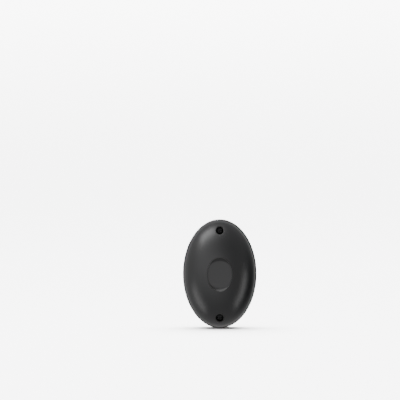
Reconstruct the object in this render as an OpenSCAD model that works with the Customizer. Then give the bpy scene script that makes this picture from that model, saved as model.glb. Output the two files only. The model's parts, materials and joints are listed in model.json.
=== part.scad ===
// Oval surface-mounted photocell for a gate, receiver of a pair.
// Millimetres. The wall is the plane y = 0, the dome faces -Y and +Z is up.

/* [Body] */
// Width of the oval body
body_w = 59; // [58:0.5:68]
// Height of the oval body
body_h = 87; // [86:0.5:100]
// Depth from the wall to the rim of the dish
body_d = 38; // [37.5:0.5:44]
// Depth of the base, from the wall to the joint with the cover
base_d = 13; // [12.5:0.5:14]
// Wall of the cover, also behind the dish
wall_t = 2; // [1.6:0.1:2.2]
// Floor of the base
floor_t = 2.2; // [2:0.1:2.4]
// Inset of the base's back edge, which gives its side a draft
base_draft = 1.2; // [0.2:0.1:1.4]

/* [Cover edge] */
// Width of the lip around the dome
lip_w = 0.9; // [0.6:0.1:1.2]
// Thickness of the lip
lip_t = 2; // [1.5:0.1:2.5]
// Bevel on the front edge of the lip
lip_bevel = 0.6; // [0.3:0.1:0.8]
// Thickness of the tongue that centres the cover in the base
tongue_t = 1; // [0.8:0.1:1.2]
// Height of the tongue behind the joint
tongue_h = 1.5; // [1:0.1:2]
// Gap between the tongue and the base
tongue_gap = 0.2; // [0.1:0.05:0.3]

/* [Seal] */
// Width of the rubber seal
seal_w = 1; // [0.8:0.1:1.2]
// Height of the rubber seal, flush with the base's edge
seal_h = 1.6; // [1.2:0.1:2]
// Gap on each side of the seal
seal_gap = 0.1; // [0.05:0.05:0.15]

/* [Dish] */
// Width of the shallow dish in front of the lens
dish_w = 19.9; // [18:0.1:22]
// Height of the dish
dish_h = 26.5; // [24:0.1:28]
// Depth of the dish's flat floor below its rim
dish_depth = 1.8; // [1.6:0.1:2.2]
// Width of the steep wall at the sides of the dish
dish_side = 0.7; // [0.4:0.1:1]
// Width of the gentle slope at the ends of the dish
dish_slope = 3.2; // [2:0.1:4]
// Width of the wider oval that both end slopes belong to
dish_slope_w = 28; // [26:0.5:32]

/* [Cover screws] */
// Distance from the body's end to the middle of a screw well
screw_inset = 9; // [8.5:0.5:9.5]
// Diameter of the wells
well_d = 6.2; // [6:0.1:6.6]
// Width of the shallow ring around each well's mouth
well_ring_w = 0.5; // [0.3:0.1:0.7]
// Depth of that ring
well_ring_depth = 0.3; // [0.2:0.1:0.4]
// Wall of the column around each well
column_wall = 1.4; // [1.2:0.1:1.6]
// Thickness of plastic under the screw's seat
seat_t = 5; // [4:0.5:6]
// Diameter of the screw's shank
screw_d = 2.9; // [2.6:0.1:3.1]
// Length of the screw's shank
screw_l = 14; // [13:0.5:14.5]
// Diameter of the screw's head
screw_head_d = 5.4; // [5:0.1:5.6]
// Height of the screw's head
screw_head_h = 2.2; // [2:0.1:2.6]
// Thickness of the rubber ring under the head
screw_ring_t = 1; // [0.8:0.1:1.2]
// Gap around the shank in the rubber ring and in the base
thread_gap = 0.05; // [0.03:0.01:0.08]
// Gap around the shank in the cover
shank_gap = 0.2; // [0.15:0.05:0.3]
// Diameter of the base's screw posts
post_d = 7.4; // [7:0.1:8]

/* [Wall fixing] */
// Distance from a cover screw to the middle of the nearer wall slot
slot_inset = 9; // [8.8:0.1:9.2]
// Width of a wall slot
slot_w = 4.2; // [4:0.1:4.6]
// Length of a wall slot
slot_l = 7; // [6.5:0.1:7.4]
// Raised rim around a wall slot
slot_rim = 1; // [0.8:0.1:1.2]

/* [Cable entry] */
// Diameter of the cable that the grommet takes
cable_d = 5; // [4:0.5:5.5]
// Diameter of the hole in the base
entry_d = 9; // [8.5:0.5:9.5]
// Width of the grommet's flanges
flange_w = 1.2; // [1:0.1:1.4]
// Thickness of the grommet's flange in the wall side
flange_t = 0.8; // [0.6:0.1:1]
// Height of the grommet's nose above the floor
nose_h = 5.6; // [4.5:0.1:6]

/* [Circuit board] */
// Width of the board
board_w = 42; // [41:0.5:43]
// Height of the board
board_h = 38.5; // [38:0.5:39]
// Distance of the board's middle above the body's middle
board_up = 1.75; // [1.5:0.05:1.9]
// Thickness of the board
board_t = 1.6; // [1.2:0.1:2]
// Distance from the wall to the board's back
board_back = 8; // [7.5:0.1:8.4]
// Corner radius of the board
board_round = 4; // [3:0.5:5]
// Diameter of the posts under the board
stand_d = 5; // [4.5:0.1:5.5]
// Diameter of the board screws
board_screw_d = 2.5; // [2.2:0.1:2.8]

/* [Lens] */
// Diameter of the lens
lens_d = 15; // [14:0.1:15.4]
// Thickness of the lens at its edge
lens_edge = 1.2; // [1:0.1:1.5]
// Bulge of the lens in front of its edge
lens_bulge = 2.4; // [1.8:0.1:2.8]
// Gap between the lens and the back of the dish
lens_cover_gap = 1.2; // [1:0.1:3]
// Wall of the lens holder
holder_wall = 1.4; // [1.2:0.1:1.5]
// Width of the holder's foot outside its tube
foot_w = 0.8; // [0.5:0.1:1]
// Thickness of the holder's foot
foot_t = 1.4; // [1:0.1:2]
// Height of the webs between the foot and the tube
holder_web_h = 9; // [6:0.5:12]
// Height of the thicker collar around the lens
collar_h = 2.6; // [2:0.1:4]
// Width of the flat rim around the lens's bulge
lens_rim = 0.7; // [0.5:0.1:1]

/* [Terminal block] */
// Number of terminals
ways = 4; // [3:1:4]
// Distance between terminals
way_pitch = 5.08; // [5:0.01:5.1]
// Depth of the block across the board
block_deep = 8.2; // [8:0.1:8.3]
// Height of the block
block_h = 11.5; // [11.3:0.1:12]
// Slope along the front edge of the block, over the wire entries
block_slope = 1.3; // [0.6:0.1:1.5]
// Diameter of a clamping screw's head
way_head_d = 3.4; // [3:0.1:3.6]
// Height of a clamping screw's head
way_head_h = 2; // [1.6:0.1:2.2]
// Diameter of a clamping screw's shank
way_screw_d = 2.4; // [2.2:0.1:2.5]
// Width of a wire clamp
clamp_w = 3.5; // [3.3:0.1:3.6]
// Height of a wire clamp
clamp_h = 4.6; // [4.5:0.1:4.6]
// Depth of a wire clamp across the board
clamp_deep = 3.8; // [3.6:0.1:3.9]
// Gap between a wire clamp and the block
clamp_gap = 0.2; // [0.15:0.01:0.25]
// Travel of a wire clamp
clamp_travel = 1.8; // [1.6:0.1:1.8]

/* [Hidden] */

shell_colour = [0.13, 0.13, 0.14];
rubber_colour = [0.2, 0.2, 0.21];
steel_colour = [0.72, 0.73, 0.75];
black_screw_colour = [0.08, 0.08, 0.09];
board_colour = [0.05, 0.33, 0.16];
holder_colour = [0.07, 0.07, 0.08];
lens_colour = [0.55, 0.6, 0.66];
chip_colour = [0.1, 0.1, 0.11];
relay_colour = [0.1, 0.25, 0.55];
block_colour = [0.1, 0.5, 0.3];
tin_colour = [0.78, 0.78, 0.76];
gold_colour = [0.8, 0.65, 0.3];
led_colour = [0.8, 0.08, 0.06];
can_colour = [0.12, 0.14, 0.22];
amber_colour = [0.75, 0.55, 0.35];

// One overrun for every cut that leaves a solid
over = 1;
smooth = 96;
round_fn = 48;
small_fn = 24;

// Cover
dome_w = body_w - 2 * lip_w;
dome_h = body_h - 2 * lip_w;
dome_from = base_d + lip_t;
dome_rise = (body_d - dome_from) / sqrt(1 - pow(dish_h / dome_h, 2));
column_d = well_d + 2 * column_wall;
seat_at = base_d + seat_t;
screw_up = body_h / 2 - screw_inset;

// The dish has a flat floor, a steep wall and a gentle slope at each end.
// Its wall meets the dome at the dish's width and height.
// A spread is the share by which an oval widens for each unit of depth.
dish_floor = body_d - dish_depth;
dish_side_at = dome_from + dome_rise * sqrt(1 - pow(dish_w / dome_w, 2));
dish_side_spread = 2 * dish_side / dish_w / (dish_side_at - dish_floor);
dish_steep_h = dish_h / (1 + dish_side_spread * (body_d - dish_side_at));
dish_end_spread = 2 * dish_slope / dish_h / dish_depth;

// Base
base_wall = lip_w + wall_t - tongue_gap;
base_in_w = body_w - 2 * base_wall;
base_in_h = body_h - 2 * base_wall;
tongue_w = base_in_w - 2 * tongue_gap;
tongue_oval_h = base_in_h - 2 * tongue_gap;
groove_w = seal_w + 2 * seal_gap;
groove_out_w = body_w - (base_wall - groove_w);
groove_out_h = body_h - (base_wall - groove_w);
post_gap = 0.2;
post_top = base_d - post_gap;
pilot_floor = 1.2;
rib_t = 1.4;
rib_drop = 3;
floor_rib_h = 1.6;
blind_skin = 0.8;
slot_rim_h = 1;
slot_up = screw_up - slot_inset;

// Cover screws
ring_from = seat_at;
head_from = ring_from + screw_ring_t;
shank_from = head_from - screw_l;
cross_w = 0.8;
cross_l = 3.4;
cross_depth = 1.3;
ring_side_gap = 0.2;

// Cable entry, midway between the board and the lower cover screw,
// and midway between the wall slot's rim and the side of the base
entry_drop = (screw_up + board_h / 2 - board_up) / 2;
entry_side = base_in_w / 2 * sqrt(1 - pow(2 * entry_drop / base_in_h, 2));
entry_x = (entry_side + slot_w / 2 + slot_rim) / 2;
entry_gap = 0.05;
inner_flange_t = 1.2;
nose_wall_root = 1.7;
nose_wall_tip = 0.9;

// Board
board_front = board_back + board_t;
board_hole_gap = 0.2;
board_screw_l = 6;
board_screw_head_d = 4.8;
board_screw_head_h = 1.8;
board_screw_gap = 0.05;

// Lens and its holder
lens_gap = 0.1;
holder_rim = 0.5;
holder_out_d = lens_d + 2 * (lens_gap + holder_rim);
holder_in_d = holder_out_d - 2 * holder_wall;
holder_foot_d = holder_out_d + 2 * foot_w;
holder_webs = 4;
web_side_t = 1.2;
collar_w = 0.5;
lens_seat = dish_floor - wall_t - lens_cover_gap - lens_bulge - lens_edge;
holder_h = lens_seat + lens_edge - board_front;
lens_cap_d = lens_d - 2 * lens_rim;
lens_ball_r = (pow(lens_cap_d / 2, 2) + pow(lens_bulge, 2)) / (2 * lens_bulge);

// Photodiode
diode_d = 5;
diode_rim_d = 5.8;
diode_rim_t = 1;
diode_can_h = 4;
diode_legs = 2;

// Leads
lead_d = 0.6;
lead_pitch = 2.54;

// Relay
relay_w = 15.6;
relay_deep = 10.4;
relay_h = 11.5;
relay_round = 0.6;
relay_foot = 0.4;

// Terminal block
block_x = 1.5;
block_foot_gap = 0.2;
block_w = ways * way_pitch;
block_low = -holder_foot_d / 2 - block_foot_gap - block_deep;
block_floor = 1;
block_back = 1.4;
block_front_gap = 1.7;
way_up = block_low + block_front_gap + clamp_deep / 2;
clamp_floor_gap = 0.2;
clamp_bottom_t = 0.8;
clamp_top_t = 1.2;
clamp_side_t = 0.55;
clamp_from = board_front + block_floor + clamp_floor_gap;
cavity_top = clamp_from + clamp_h + clamp_travel + clamp_floor_gap;
web_t = 1.1;
way_well_floor = cavity_top + web_t;
way_head_gap = 0.2;
way_head_from = way_well_floor + way_head_gap;
bar_gap = 0.1;
bar_t = 0.65;
bar_w = 1.8;
bar_top = clamp_from + clamp_h - clamp_top_t - bar_gap;
bar_leg_t = 0.6;
bar_leg_up = block_low + block_deep - block_back - bar_leg_t;
bar_reach = 4.4;
way_tip = bar_top + 0.25 * lead_d;
way_slot_w = 0.6;
way_slot_depth = 0.9;

// Selection header
header_pins_n = 3;
header_w = 2.5;
header_h = 2.5;
pin_w = 0.64;
pin_l = 8.2;
pin_gap = 0.05;
cap_h = 6.4;
cap_w = 2.4;
cap_round = 0.3;
cap_grip = 0.4;
socket_spare = 0.2;
socket_depth = pin_l - header_h + socket_spare;

// Lamp
led_d = 3;
led_rim_d = 3.8;
led_rim_t = 0.8;
led_can_h = 3.4;
led_legs = 5;

// Capacitors
can_d = 8;
can_h = 11.5;
small_can_d = 5;
small_can_h = 9;
can_neck_share = 0.92;
can_neck_at_share = 0.16;
can_neck_h_share = 0.06;
can_edge_share = 0.08;

// Flat packages
bridge_w = 6.4;
bridge_l = 8.4;
bridge_h = 3.2;
chip_w = 3.9;
chip_l = 4.9;
chip_h = 1.5;
chip_leg_pitch = 1.27;
chip_leg_w = 0.4;
bridge_leg_w = 1;
leg_t = 0.25;
leg_reach = 0.8;
package_up = 0.2;

// Three-legged regulator
regulator_d = 4.6;
regulator_h = 4.6;
regulator_flat = 1.2;
regulator_legs = 2.2;
regulator_pitch = 1.27;

// Axial parts
axial_l = 6;
axial_d = 1.9;
axial_bulge_d = 2.2;
axial_bulge_l = 1.3;
axial_span = 8.6;
axial_up = 1.3;

// Solder
solder_d = 1.8;
solder_tip_d = 0.7;
solder_h = 0.9;
relay_pin_shares = [0, 0.18, 0.36];

// Places of the parts on the board, each worked out from its neighbours
part_gap = 0.4;
corner_inset_x = 3.5;
corner_inset_up = 4;
corner_clear = (stand_d + solder_d) / 2 + part_gap;
axial_step = axial_bulge_d + part_gap;
top_row_up = holder_foot_d / 2 + part_gap + relay_deep / 2;
// The top row lies midway between the board's edge and the screw in its corner
top_row_w = relay_w + can_d + 2 * axial_step + part_gap;
top_row_free = board_w - corner_inset_x - board_screw_head_d / 2 - top_row_w;
relay_place = [(relay_w - board_w + top_row_free) / 2, top_row_up];
first_resistor_x = relay_place.x + relay_w / 2 + part_gap + axial_bulge_d / 2;
smoothing_place = [first_resistor_x + 1.5 * axial_step + part_gap / 2 + can_d / 2, top_row_up];
small_place = smoothing_place + [(can_d + small_can_d) / 2 - part_gap, -can_d / 2];
led_place = small_place - [0, (small_can_d + led_rim_d) / 2 + part_gap];
chip_place = [
    holder_foot_d / 2 + part_gap + chip_w / 2 + leg_reach,
    led_place.y - (led_rim_d + chip_l) / 2 - part_gap
];
bridge_place = [
    block_x + (block_w + bridge_w) / 2 + part_gap + leg_reach,
    chip_place.y - (chip_l + bridge_l) / 2 - part_gap
];
regulator_place = [
    -(holder_foot_d + regulator_d) / 2 - part_gap,
    top_row_up - (relay_deep + regulator_d) / 2 - part_gap
];
diode_place = [block_x - (block_w + axial_span + lead_d) / 2 - part_gap, corner(-1, -1).y + corner_clear];
lying_resistor_place = diode_place + [0, axial_step];
header_place = [
    regulator_place.x - (regulator_d + header_w) / 2 - part_gap,
    lying_resistor_place.y + (axial_bulge_d + header_pins_n * lead_pitch + pin_gap) / 2 + part_gap
];
standing_resistor_places = [
    [first_resistor_x, top_row_up],
    [first_resistor_x + axial_step, top_row_up],
    [
        small_place.x + (small_can_d + axial_bulge_d) / 2 + part_gap,
        corner(1, 1).y - corner_clear - axial_span / 2
    ]
];
screw_places = [corner(1, 1), corner(-1, -1)];
stand_places = [corner(-1, 1), corner(1, -1)];

function corner(side, end) = [
    side * (board_w / 2 - corner_inset_x),
    board_up + end * (board_h / 2 - corner_inset_up)
];

module on_wall() {
    rotate([90, 0, 0]) children();
}

module oval(w, h, t, taper = 0) {
    scale([w / 2, h / 2, 1]) cylinder(r1 = 1 - 2 * taper / w, r2 = 1, h = t, $fn = smooth);
}

module egg(w, h, rise) {
    scale([w / 2, h / 2, rise]) sphere(r = 1, $fn = smooth);
}

module above(depth) {
    intersection() {
        children();
        translate([-body_w, -body_h, depth]) cube([2 * body_w, 2 * body_h, 2 * body_d]);
    }
}

module both_wells() {
    for (side = [-1, 1]) translate([0, side * screw_up, 0]) children();
}

module dome(inset) {
    translate([0, 0, dome_from]) egg(dome_w - 2 * inset, dome_h - 2 * inset, dome_rise - inset);
}

module dish(grow) {
    intersection() {
        dish_oval(dish_w, dish_steep_h, dish_side_at, dish_side_spread, grow);
        dish_oval(dish_slope_w, dish_h, body_d, dish_end_spread, grow);
    }
}

// An oval of size w by h at one depth, which narrows from there to the dish's floor
module dish_oval(w, h, at, spread, grow) {
    top = dome_from + dome_rise + over;
    top_share = 1 + spread * (top - at);
    translate([0, 0, dish_floor - grow])
        oval(
            w * top_share + 2 * grow, h * top_share + 2 * grow,
            top - dish_floor + grow, w * spread * (top - dish_floor) / 2
        );
}

module rounded(w, h, r) {
    square([w - 2 * r, h], center = true);
    square([w, h - 2 * r], center = true);
    for (x = [-1, 1], y = [-1, 1])
        translate([x * (w / 2 - r), y * (h / 2 - r)]) circle(r = r, $fn = small_fn);
}

module on_board(place) {
    translate([place.x, place.y, board_front]) children();
}

module slot(w, l, t) {
    for (side = [-1, 1]) translate([0, side * (l - w) / 2, 0]) cylinder(d = w, h = t, $fn = round_fn);
    translate([-w / 2, -(l - w) / 2, 0]) cube([w, l - w, t]);
}

module base() {
    color(shell_colour) on_wall() difference() {
        union() {
            difference() {
                base_block();
                translate([0, 0, floor_t]) oval(base_in_w, base_in_h, base_d);
            }
            both_wells() translate([0, 0, floor_t / 2])
                cylinder(d = post_d, h = post_top - floor_t / 2, $fn = round_fn);
            for (side = [-1, 1]) screw_post_rib(side);
            for (place = concat(screw_places, stand_places)) board_stand(place);
            for (side = [-1, 1]) floor_rib(side);
            for (side = [-1, 1]) translate([0, side * slot_up, floor_t / 2])
                slot(slot_w + 2 * slot_rim, slot_l + 2 * slot_rim, floor_t / 2 + slot_rim_h);
        }
        seal_groove();
        both_wells() translate([0, 0, pilot_floor])
            cylinder(d = screw_d + 2 * thread_gap, h = base_d, $fn = round_fn);
        for (side = [-1, 1]) translate([0, side * slot_up, -over])
            slot(slot_w, slot_l, floor_t + slot_rim_h + 2 * over);
        cable_hole();
        translate([-entry_x, -entry_drop, blind_skin]) cylinder(d = entry_d, h = floor_t, $fn = round_fn);
        for (place = screw_places) on_board(place) translate([0, 0, pilot_floor - board_front])
            cylinder(d = board_screw_d + 2 * board_screw_gap, h = board_back, $fn = small_fn);
    }
}

// The cut at depth 0 leaves the back an exact plane for the wall
module base_block() {
    above(0) translate([0, 0, -over])
        oval(body_w, body_h, base_d + over, base_draft * (base_d + over) / base_d);
}

module screw_post_rib(side) {
    rib_l = base_in_h / 2 - screw_up + base_wall / 4;
    translate([-rib_t / 2, side > 0 ? screw_up : -screw_up - rib_l, floor_t / 2])
        cube([rib_t, rib_l, post_top - rib_drop - floor_t / 2]);
}

// A low rib along the floor from one of the board's posts to the next
module floor_rib(side) {
    translate([corner(side, -1).x - rib_t / 2, corner(side, -1).y, floor_t / 2])
        cube([rib_t, corner(side, 1).y - corner(side, -1).y, floor_t / 2 + floor_rib_h]);
}

module board_stand(place) {
    on_board(place) translate([0, 0, floor_t / 2 - board_front])
        cylinder(d = stand_d, h = board_back - floor_t / 2, $fn = round_fn);
}

module seal_groove() {
    translate([0, 0, base_d - seal_h]) difference() {
        oval(groove_out_w, groove_out_h, seal_h + over);
        translate([0, 0, -over])
            oval(groove_out_w - 2 * groove_w, groove_out_h - 2 * groove_w, seal_h + 3 * over);
    }
}

module cable_hole() {
    translate([entry_x, -entry_drop, -over]) {
        cylinder(d = entry_d, h = floor_t + 2 * over, $fn = round_fn);
        cylinder(d = entry_d + 2 * flange_w + 2 * entry_gap, h = flange_t + over, $fn = round_fn);
    }
}

module cover() {
    color(shell_colour) on_wall() difference() {
        union() {
            difference() {
                union() {
                    above(base_d) dome(0);
                    cover_lip();
                    translate([0, 0, base_d - tongue_h]) oval(tongue_w, tongue_oval_h, tongue_h + lip_t / 2);
                }
                difference() {
                    cover_hollow();
                    dish(wall_t);
                }
            }
            above(base_d) intersection() {
                both_wells() translate([0, 0, base_d]) cylinder(d = column_d, h = body_d, $fn = round_fn);
                dome(wall_t / 2);
            }
        }
        dish(0);
        both_wells() {
            translate([0, 0, seat_at]) cylinder(d = well_d, h = body_d, $fn = round_fn);
            translate([0, 0, base_d - over])
                cylinder(d = screw_d + 2 * shank_gap, h = seat_t + 2 * over, $fn = round_fn);
        }
        well_rings();
    }
}

module cover_lip() {
    translate([0, 0, base_d]) oval(body_w, body_h, lip_t - lip_bevel);
    translate([0, 0, base_d + lip_t]) mirror([0, 0, 1])
        oval(body_w, body_h, lip_bevel, lip_bevel);
}

module cover_hollow() {
    above(dome_from) dome(wall_t);
    translate([0, 0, base_d - tongue_h - over])
        oval(tongue_w - 2 * tongue_t, tongue_oval_h - 2 * tongue_t, tongue_h + lip_t + 2 * over);
}

module well_rings() {
    difference() {
        both_wells() translate([0, 0, seat_at])
            cylinder(d = well_d + 2 * well_ring_w, h = body_d, $fn = round_fn);
        dome(well_ring_depth);
    }
}

module cover_seal() {
    seal_out_w = groove_out_w - 2 * seal_gap;
    seal_out_h = groove_out_h - 2 * seal_gap;
    color(rubber_colour) on_wall() translate([0, 0, base_d - seal_h]) difference() {
        oval(seal_out_w, seal_out_h, seal_h);
        translate([0, 0, -over]) oval(seal_out_w - 2 * seal_w, seal_out_h - 2 * seal_w, seal_h + 2 * over);
    }
}

module cover_screw(side) {
    color(black_screw_colour) on_wall() translate([0, side * screw_up, 0]) difference() {
        union() {
            translate([0, 0, head_from]) cylinder(d = screw_head_d, h = screw_head_h, $fn = round_fn);
            translate([0, 0, shank_from])
                cylinder(d = screw_d, h = screw_l + screw_head_h / 2, $fn = round_fn);
        }
        for (turn = [0, 90]) rotate([0, 0, turn])
            translate([-cross_l / 2, -cross_w / 2, head_from + screw_head_h - cross_depth])
                cube([cross_l, cross_w, cross_depth + over]);
    }
}

module screw_ring(side) {
    color(rubber_colour) on_wall() translate([0, side * screw_up, ring_from]) difference() {
        cylinder(d = well_d - 2 * ring_side_gap, h = screw_ring_t, $fn = round_fn);
        translate([0, 0, -over])
            cylinder(d = screw_d + 2 * thread_gap, h = screw_ring_t + 2 * over, $fn = round_fn);
    }
}

module cable_grommet() {
    flange_r = entry_d / 2 + flange_w;
    neck_r = entry_d / 2 - entry_gap;
    bore_r = cable_d / 2;
    nose_top = floor_t + nose_h;
    color(rubber_colour) on_wall() translate([entry_x, -entry_drop, 0]) rotate_extrude($fn = round_fn)
        polygon([
            [bore_r, entry_gap], [flange_r, entry_gap], [flange_r, flange_t], [neck_r, flange_t],
            [neck_r, floor_t], [flange_r, floor_t], [flange_r, floor_t + inner_flange_t],
            [bore_r + nose_wall_root, floor_t + inner_flange_t],
            [bore_r + nose_wall_tip, nose_top], [bore_r, nose_top]
        ]);
}

module circuit_board() {
    color(board_colour) on_wall() difference() {
        translate([0, board_up, board_back]) linear_extrude(board_t) rounded(board_w, board_h, board_round);
        for (place = screw_places) on_board(place) translate([0, 0, -board_t - over])
            cylinder(d = board_screw_d + 2 * board_hole_gap, h = board_t + 2 * over, $fn = small_fn);
    }
}

module board_screws() {
    color(steel_colour) on_wall() for (place = screw_places) on_board(place) difference() {
        union() {
            cylinder(d1 = board_screw_head_d, d2 = board_screw_head_d - board_screw_head_h / 2,
                h = board_screw_head_h, $fn = small_fn);
            translate([0, 0, -board_screw_l])
                cylinder(d = board_screw_d, h = board_screw_l + board_screw_head_h / 2, $fn = small_fn);
        }
        for (turn = [45, 135]) rotate([0, 0, turn])
            translate([-cross_l / 2, -cross_w / 2, board_screw_head_h - cross_depth / 2])
                cube([cross_l, cross_w, cross_depth]);
    }
}

module lens_holder() {
    color(holder_colour) on_wall() translate([0, 0, board_front]) difference() {
        union() {
            cylinder(d = holder_out_d, h = holder_h + lens_edge / 2, $fn = smooth);
            cylinder(d = holder_foot_d, h = foot_t, $fn = smooth);
            translate([0, 0, holder_h + lens_edge / 2 - collar_h])
                cylinder(d = holder_out_d + 2 * collar_w, h = collar_h, $fn = smooth);
            for (web = [1:holder_webs]) rotate([0, 0, (web - 0.5) * 360 / holder_webs]) holder_web();
        }
        translate([0, 0, -over]) cylinder(d = holder_in_d, h = holder_h + 2 * over, $fn = smooth);
        translate([0, 0, holder_h - lens_edge])
            cylinder(d = lens_d + 2 * lens_gap, h = lens_edge + over, $fn = smooth);
    }
}

// Three-cornered web that stiffens the tube over its foot
module holder_web() {
    tube_r = (holder_out_d - holder_wall) / 2;
    translate([0, web_side_t / 2, 0]) rotate([90, 0, 0]) linear_extrude(web_side_t)
        polygon([
            [tube_r, 0], [holder_foot_d / 2, 0], [holder_foot_d / 2, foot_t],
            [holder_out_d / 2, holder_web_h], [tube_r, holder_web_h]
        ]);
}

module lens() {
    color(lens_colour) on_wall() translate([0, 0, lens_seat]) union() {
        cylinder(d = lens_d, h = lens_edge, $fn = smooth);
        intersection() {
            translate([0, 0, lens_edge + lens_bulge - lens_ball_r]) sphere(r = lens_ball_r, $fn = smooth);
            translate([0, 0, lens_edge / 2]) cylinder(d = lens_cap_d, h = lens_ball_r, $fn = smooth);
        }
    }
}

module bulb(d, rim_d, rim_t, can_h, legs) {
    for (side = [-1, 1]) translate([side * lead_pitch / 2, 0, 0])
        cylinder(d = lead_d, h = legs + rim_t / 2, $fn = small_fn);
    translate([0, 0, legs]) {
        cylinder(d = rim_d, h = rim_t, $fn = round_fn);
        cylinder(d = d, h = can_h, $fn = round_fn);
        translate([0, 0, can_h]) sphere(d = d, $fn = round_fn);
    }
}

module photodiode() {
    color(chip_colour) on_wall() translate([0, 0, board_front])
        bulb(diode_d, diode_rim_d, diode_rim_t, diode_can_h, diode_legs);
}

module status_led() {
    color(led_colour) on_wall() on_board(led_place)
        bulb(led_d, led_rim_d, led_rim_t, led_can_h, led_legs);
}

module relay() {
    color(relay_colour) on_wall() on_board(relay_place) {
        translate([0, 0, relay_foot]) linear_extrude(relay_h - relay_foot)
            rounded(relay_w, relay_deep, relay_round);
        for (x = [-1, 1], y = [-1, 1])
            translate([x * (relay_w / 2 - 2 * relay_round), y * (relay_deep / 2 - 2 * relay_round), 0])
                cylinder(r = relay_round, h = 2 * relay_foot, $fn = small_fn);
    }
}

function way_x(way) = block_x + (way - (ways + 1) / 2) * way_pitch;

module terminal_block() {
    cavity_w = clamp_w + 2 * clamp_gap;
    cavity_from = board_front + block_floor;
    cavity_deep = block_deep - block_back;
    color(block_colour) on_wall() difference() {
        translate([block_x - block_w / 2, block_low, board_front]) rotate([90, 0, 90]) linear_extrude(block_w)
            polygon([
                [0, 0], [block_deep, 0], [block_deep, block_h], [block_slope, block_h],
                [0, block_h - block_slope]
            ]);
        for (way = [1:ways]) translate([way_x(way), 0, 0]) {
            translate([-cavity_w / 2, block_low - over, cavity_from])
                cube([cavity_w, cavity_deep + over, cavity_top - cavity_from]);
            translate([0, way_up, way_well_floor])
                cylinder(d = way_head_d + 2 * clamp_gap, h = block_h, $fn = small_fn);
            translate([0, way_up, cavity_top - over])
                cylinder(d = way_screw_d + clamp_gap, h = web_t + 2 * over, $fn = small_fn);
            translate([-bar_w / 2 - pin_gap, bar_leg_up - pin_gap, board_front - over])
                cube([bar_w + 2 * pin_gap, bar_leg_t + pin_gap, block_floor + 2 * over]);
        }
    }
}

module terminal_contacts() {
    color(tin_colour) on_wall() for (way = [1:ways]) translate([way_x(way) - bar_w / 2, 0, 0]) {
        translate([0, bar_leg_up, board_front]) cube([bar_w, bar_leg_t, bar_top - board_front]);
        translate([0, bar_leg_up + bar_leg_t - bar_reach, bar_top - bar_t]) cube([bar_w, bar_reach, bar_t]);
    }
}

module terminal_screw(way) {
    color(steel_colour) on_wall() translate([way_x(way), way_up, 0]) difference() {
        union() {
            translate([0, 0, way_head_from]) cylinder(d = way_head_d, h = way_head_h, $fn = small_fn);
            translate([0, 0, way_tip])
                cylinder(d = way_screw_d, h = way_head_from - way_tip + way_head_h / 2, $fn = small_fn);
        }
        translate([-way_head_d, -way_slot_w / 2, way_head_from + way_head_h - way_slot_depth])
            cube([2 * way_head_d, way_slot_w, way_slot_depth + over]);
    }
}

module wire_clamp(way) {
    window_w = clamp_w - 2 * clamp_side_t;
    window_h = clamp_h - clamp_bottom_t - clamp_top_t;
    color(tin_colour) on_wall() translate([way_x(way), way_up, clamp_from]) difference() {
        translate([-clamp_w / 2, -clamp_deep / 2, 0]) cube([clamp_w, clamp_deep, clamp_h]);
        translate([-window_w / 2, -clamp_deep / 2 - over, clamp_bottom_t])
            cube([window_w, clamp_deep + 2 * over, window_h]);
        cylinder(d = way_screw_d + 2 * thread_gap, h = clamp_h + over, $fn = small_fn);
    }
}

module pin_header() {
    color(chip_colour) on_wall() on_board(header_place) difference() {
        for (pin = [0:header_pins_n - 1]) header_pin_place(pin)
            linear_extrude(header_h) rounded(header_w, lead_pitch + pin_gap, cap_round);
        for (pin = [0:header_pins_n - 1]) header_pin_place(pin) translate([0, 0, -over])
            linear_extrude(header_h + 2 * over) square(pin_w + 2 * pin_gap, center = true);
    }
}

module header_pin_place(pin) {
    translate([0, (pin - (header_pins_n - 1) / 2) * lead_pitch, 0]) children();
}

module header_pins() {
    color(gold_colour) on_wall() on_board(header_place) for (pin = [0:header_pins_n - 1])
        header_pin_place(pin) translate([-pin_w / 2, -pin_w / 2, 0]) cube([pin_w, pin_w, pin_l]);
}

module jumper_cap() {
    color(chip_colour) on_wall() on_board(header_place) translate([0, 0, header_h]) difference() {
        translate([0, -lead_pitch / 2, 0]) linear_extrude(cap_h)
            rounded(cap_w, 2 * lead_pitch - cap_round, cap_round);
        for (pin = [0, 1]) header_pin_place(pin) translate([0, 0, -over])
            linear_extrude(socket_depth + over) square(pin_w + 2 * pin_gap, center = true);
        for (side = [-1, 1]) translate([side * cap_w / 2, -lead_pitch / 2, cap_h / 2])
            cube([cap_grip, lead_pitch, cap_h / 2], center = true);
    }
}

module can(d, h) {
    r = d / 2;
    neck_at = h * can_neck_at_share;
    neck_h = h * can_neck_h_share;
    edge = r * can_edge_share;
    rotate_extrude($fn = round_fn) polygon([
        [0, 0], [r, 0], [r, neck_at], [r * can_neck_share, neck_at + neck_h / 2], [r, neck_at + neck_h],
        [r, h - 2 * edge], [r - 2 * edge, h], [r - 3 * edge, h - edge], [0, h - edge]
    ]);
}

module smoothing_capacitor() {
    color(can_colour) on_wall() on_board(smoothing_place) can(can_d, can_h);
}

module small_capacitor() {
    color(can_colour) on_wall() on_board(small_place) can(small_can_d, small_can_h);
}

module package(w, l, h, legs, pitch, leg_w) {
    translate([0, 0, package_up]) linear_extrude(h) rounded(w, l, leg_t);
    for (side = [-1, 1], leg = [0:legs - 1])
        translate([0, (leg - (legs - 1) / 2) * pitch - leg_w / 2, 0]) {
            translate([side > 0 ? w / 2 - leg_t : -w / 2 - leg_reach, 0, package_up + h / 2])
                cube([leg_reach + leg_t, leg_w, leg_t]);
            translate([side > 0 ? w / 2 + leg_reach - leg_t : -w / 2 - leg_reach, 0, 0])
                cube([leg_t, leg_w, package_up + h / 2 + leg_t]);
        }
}

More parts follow.
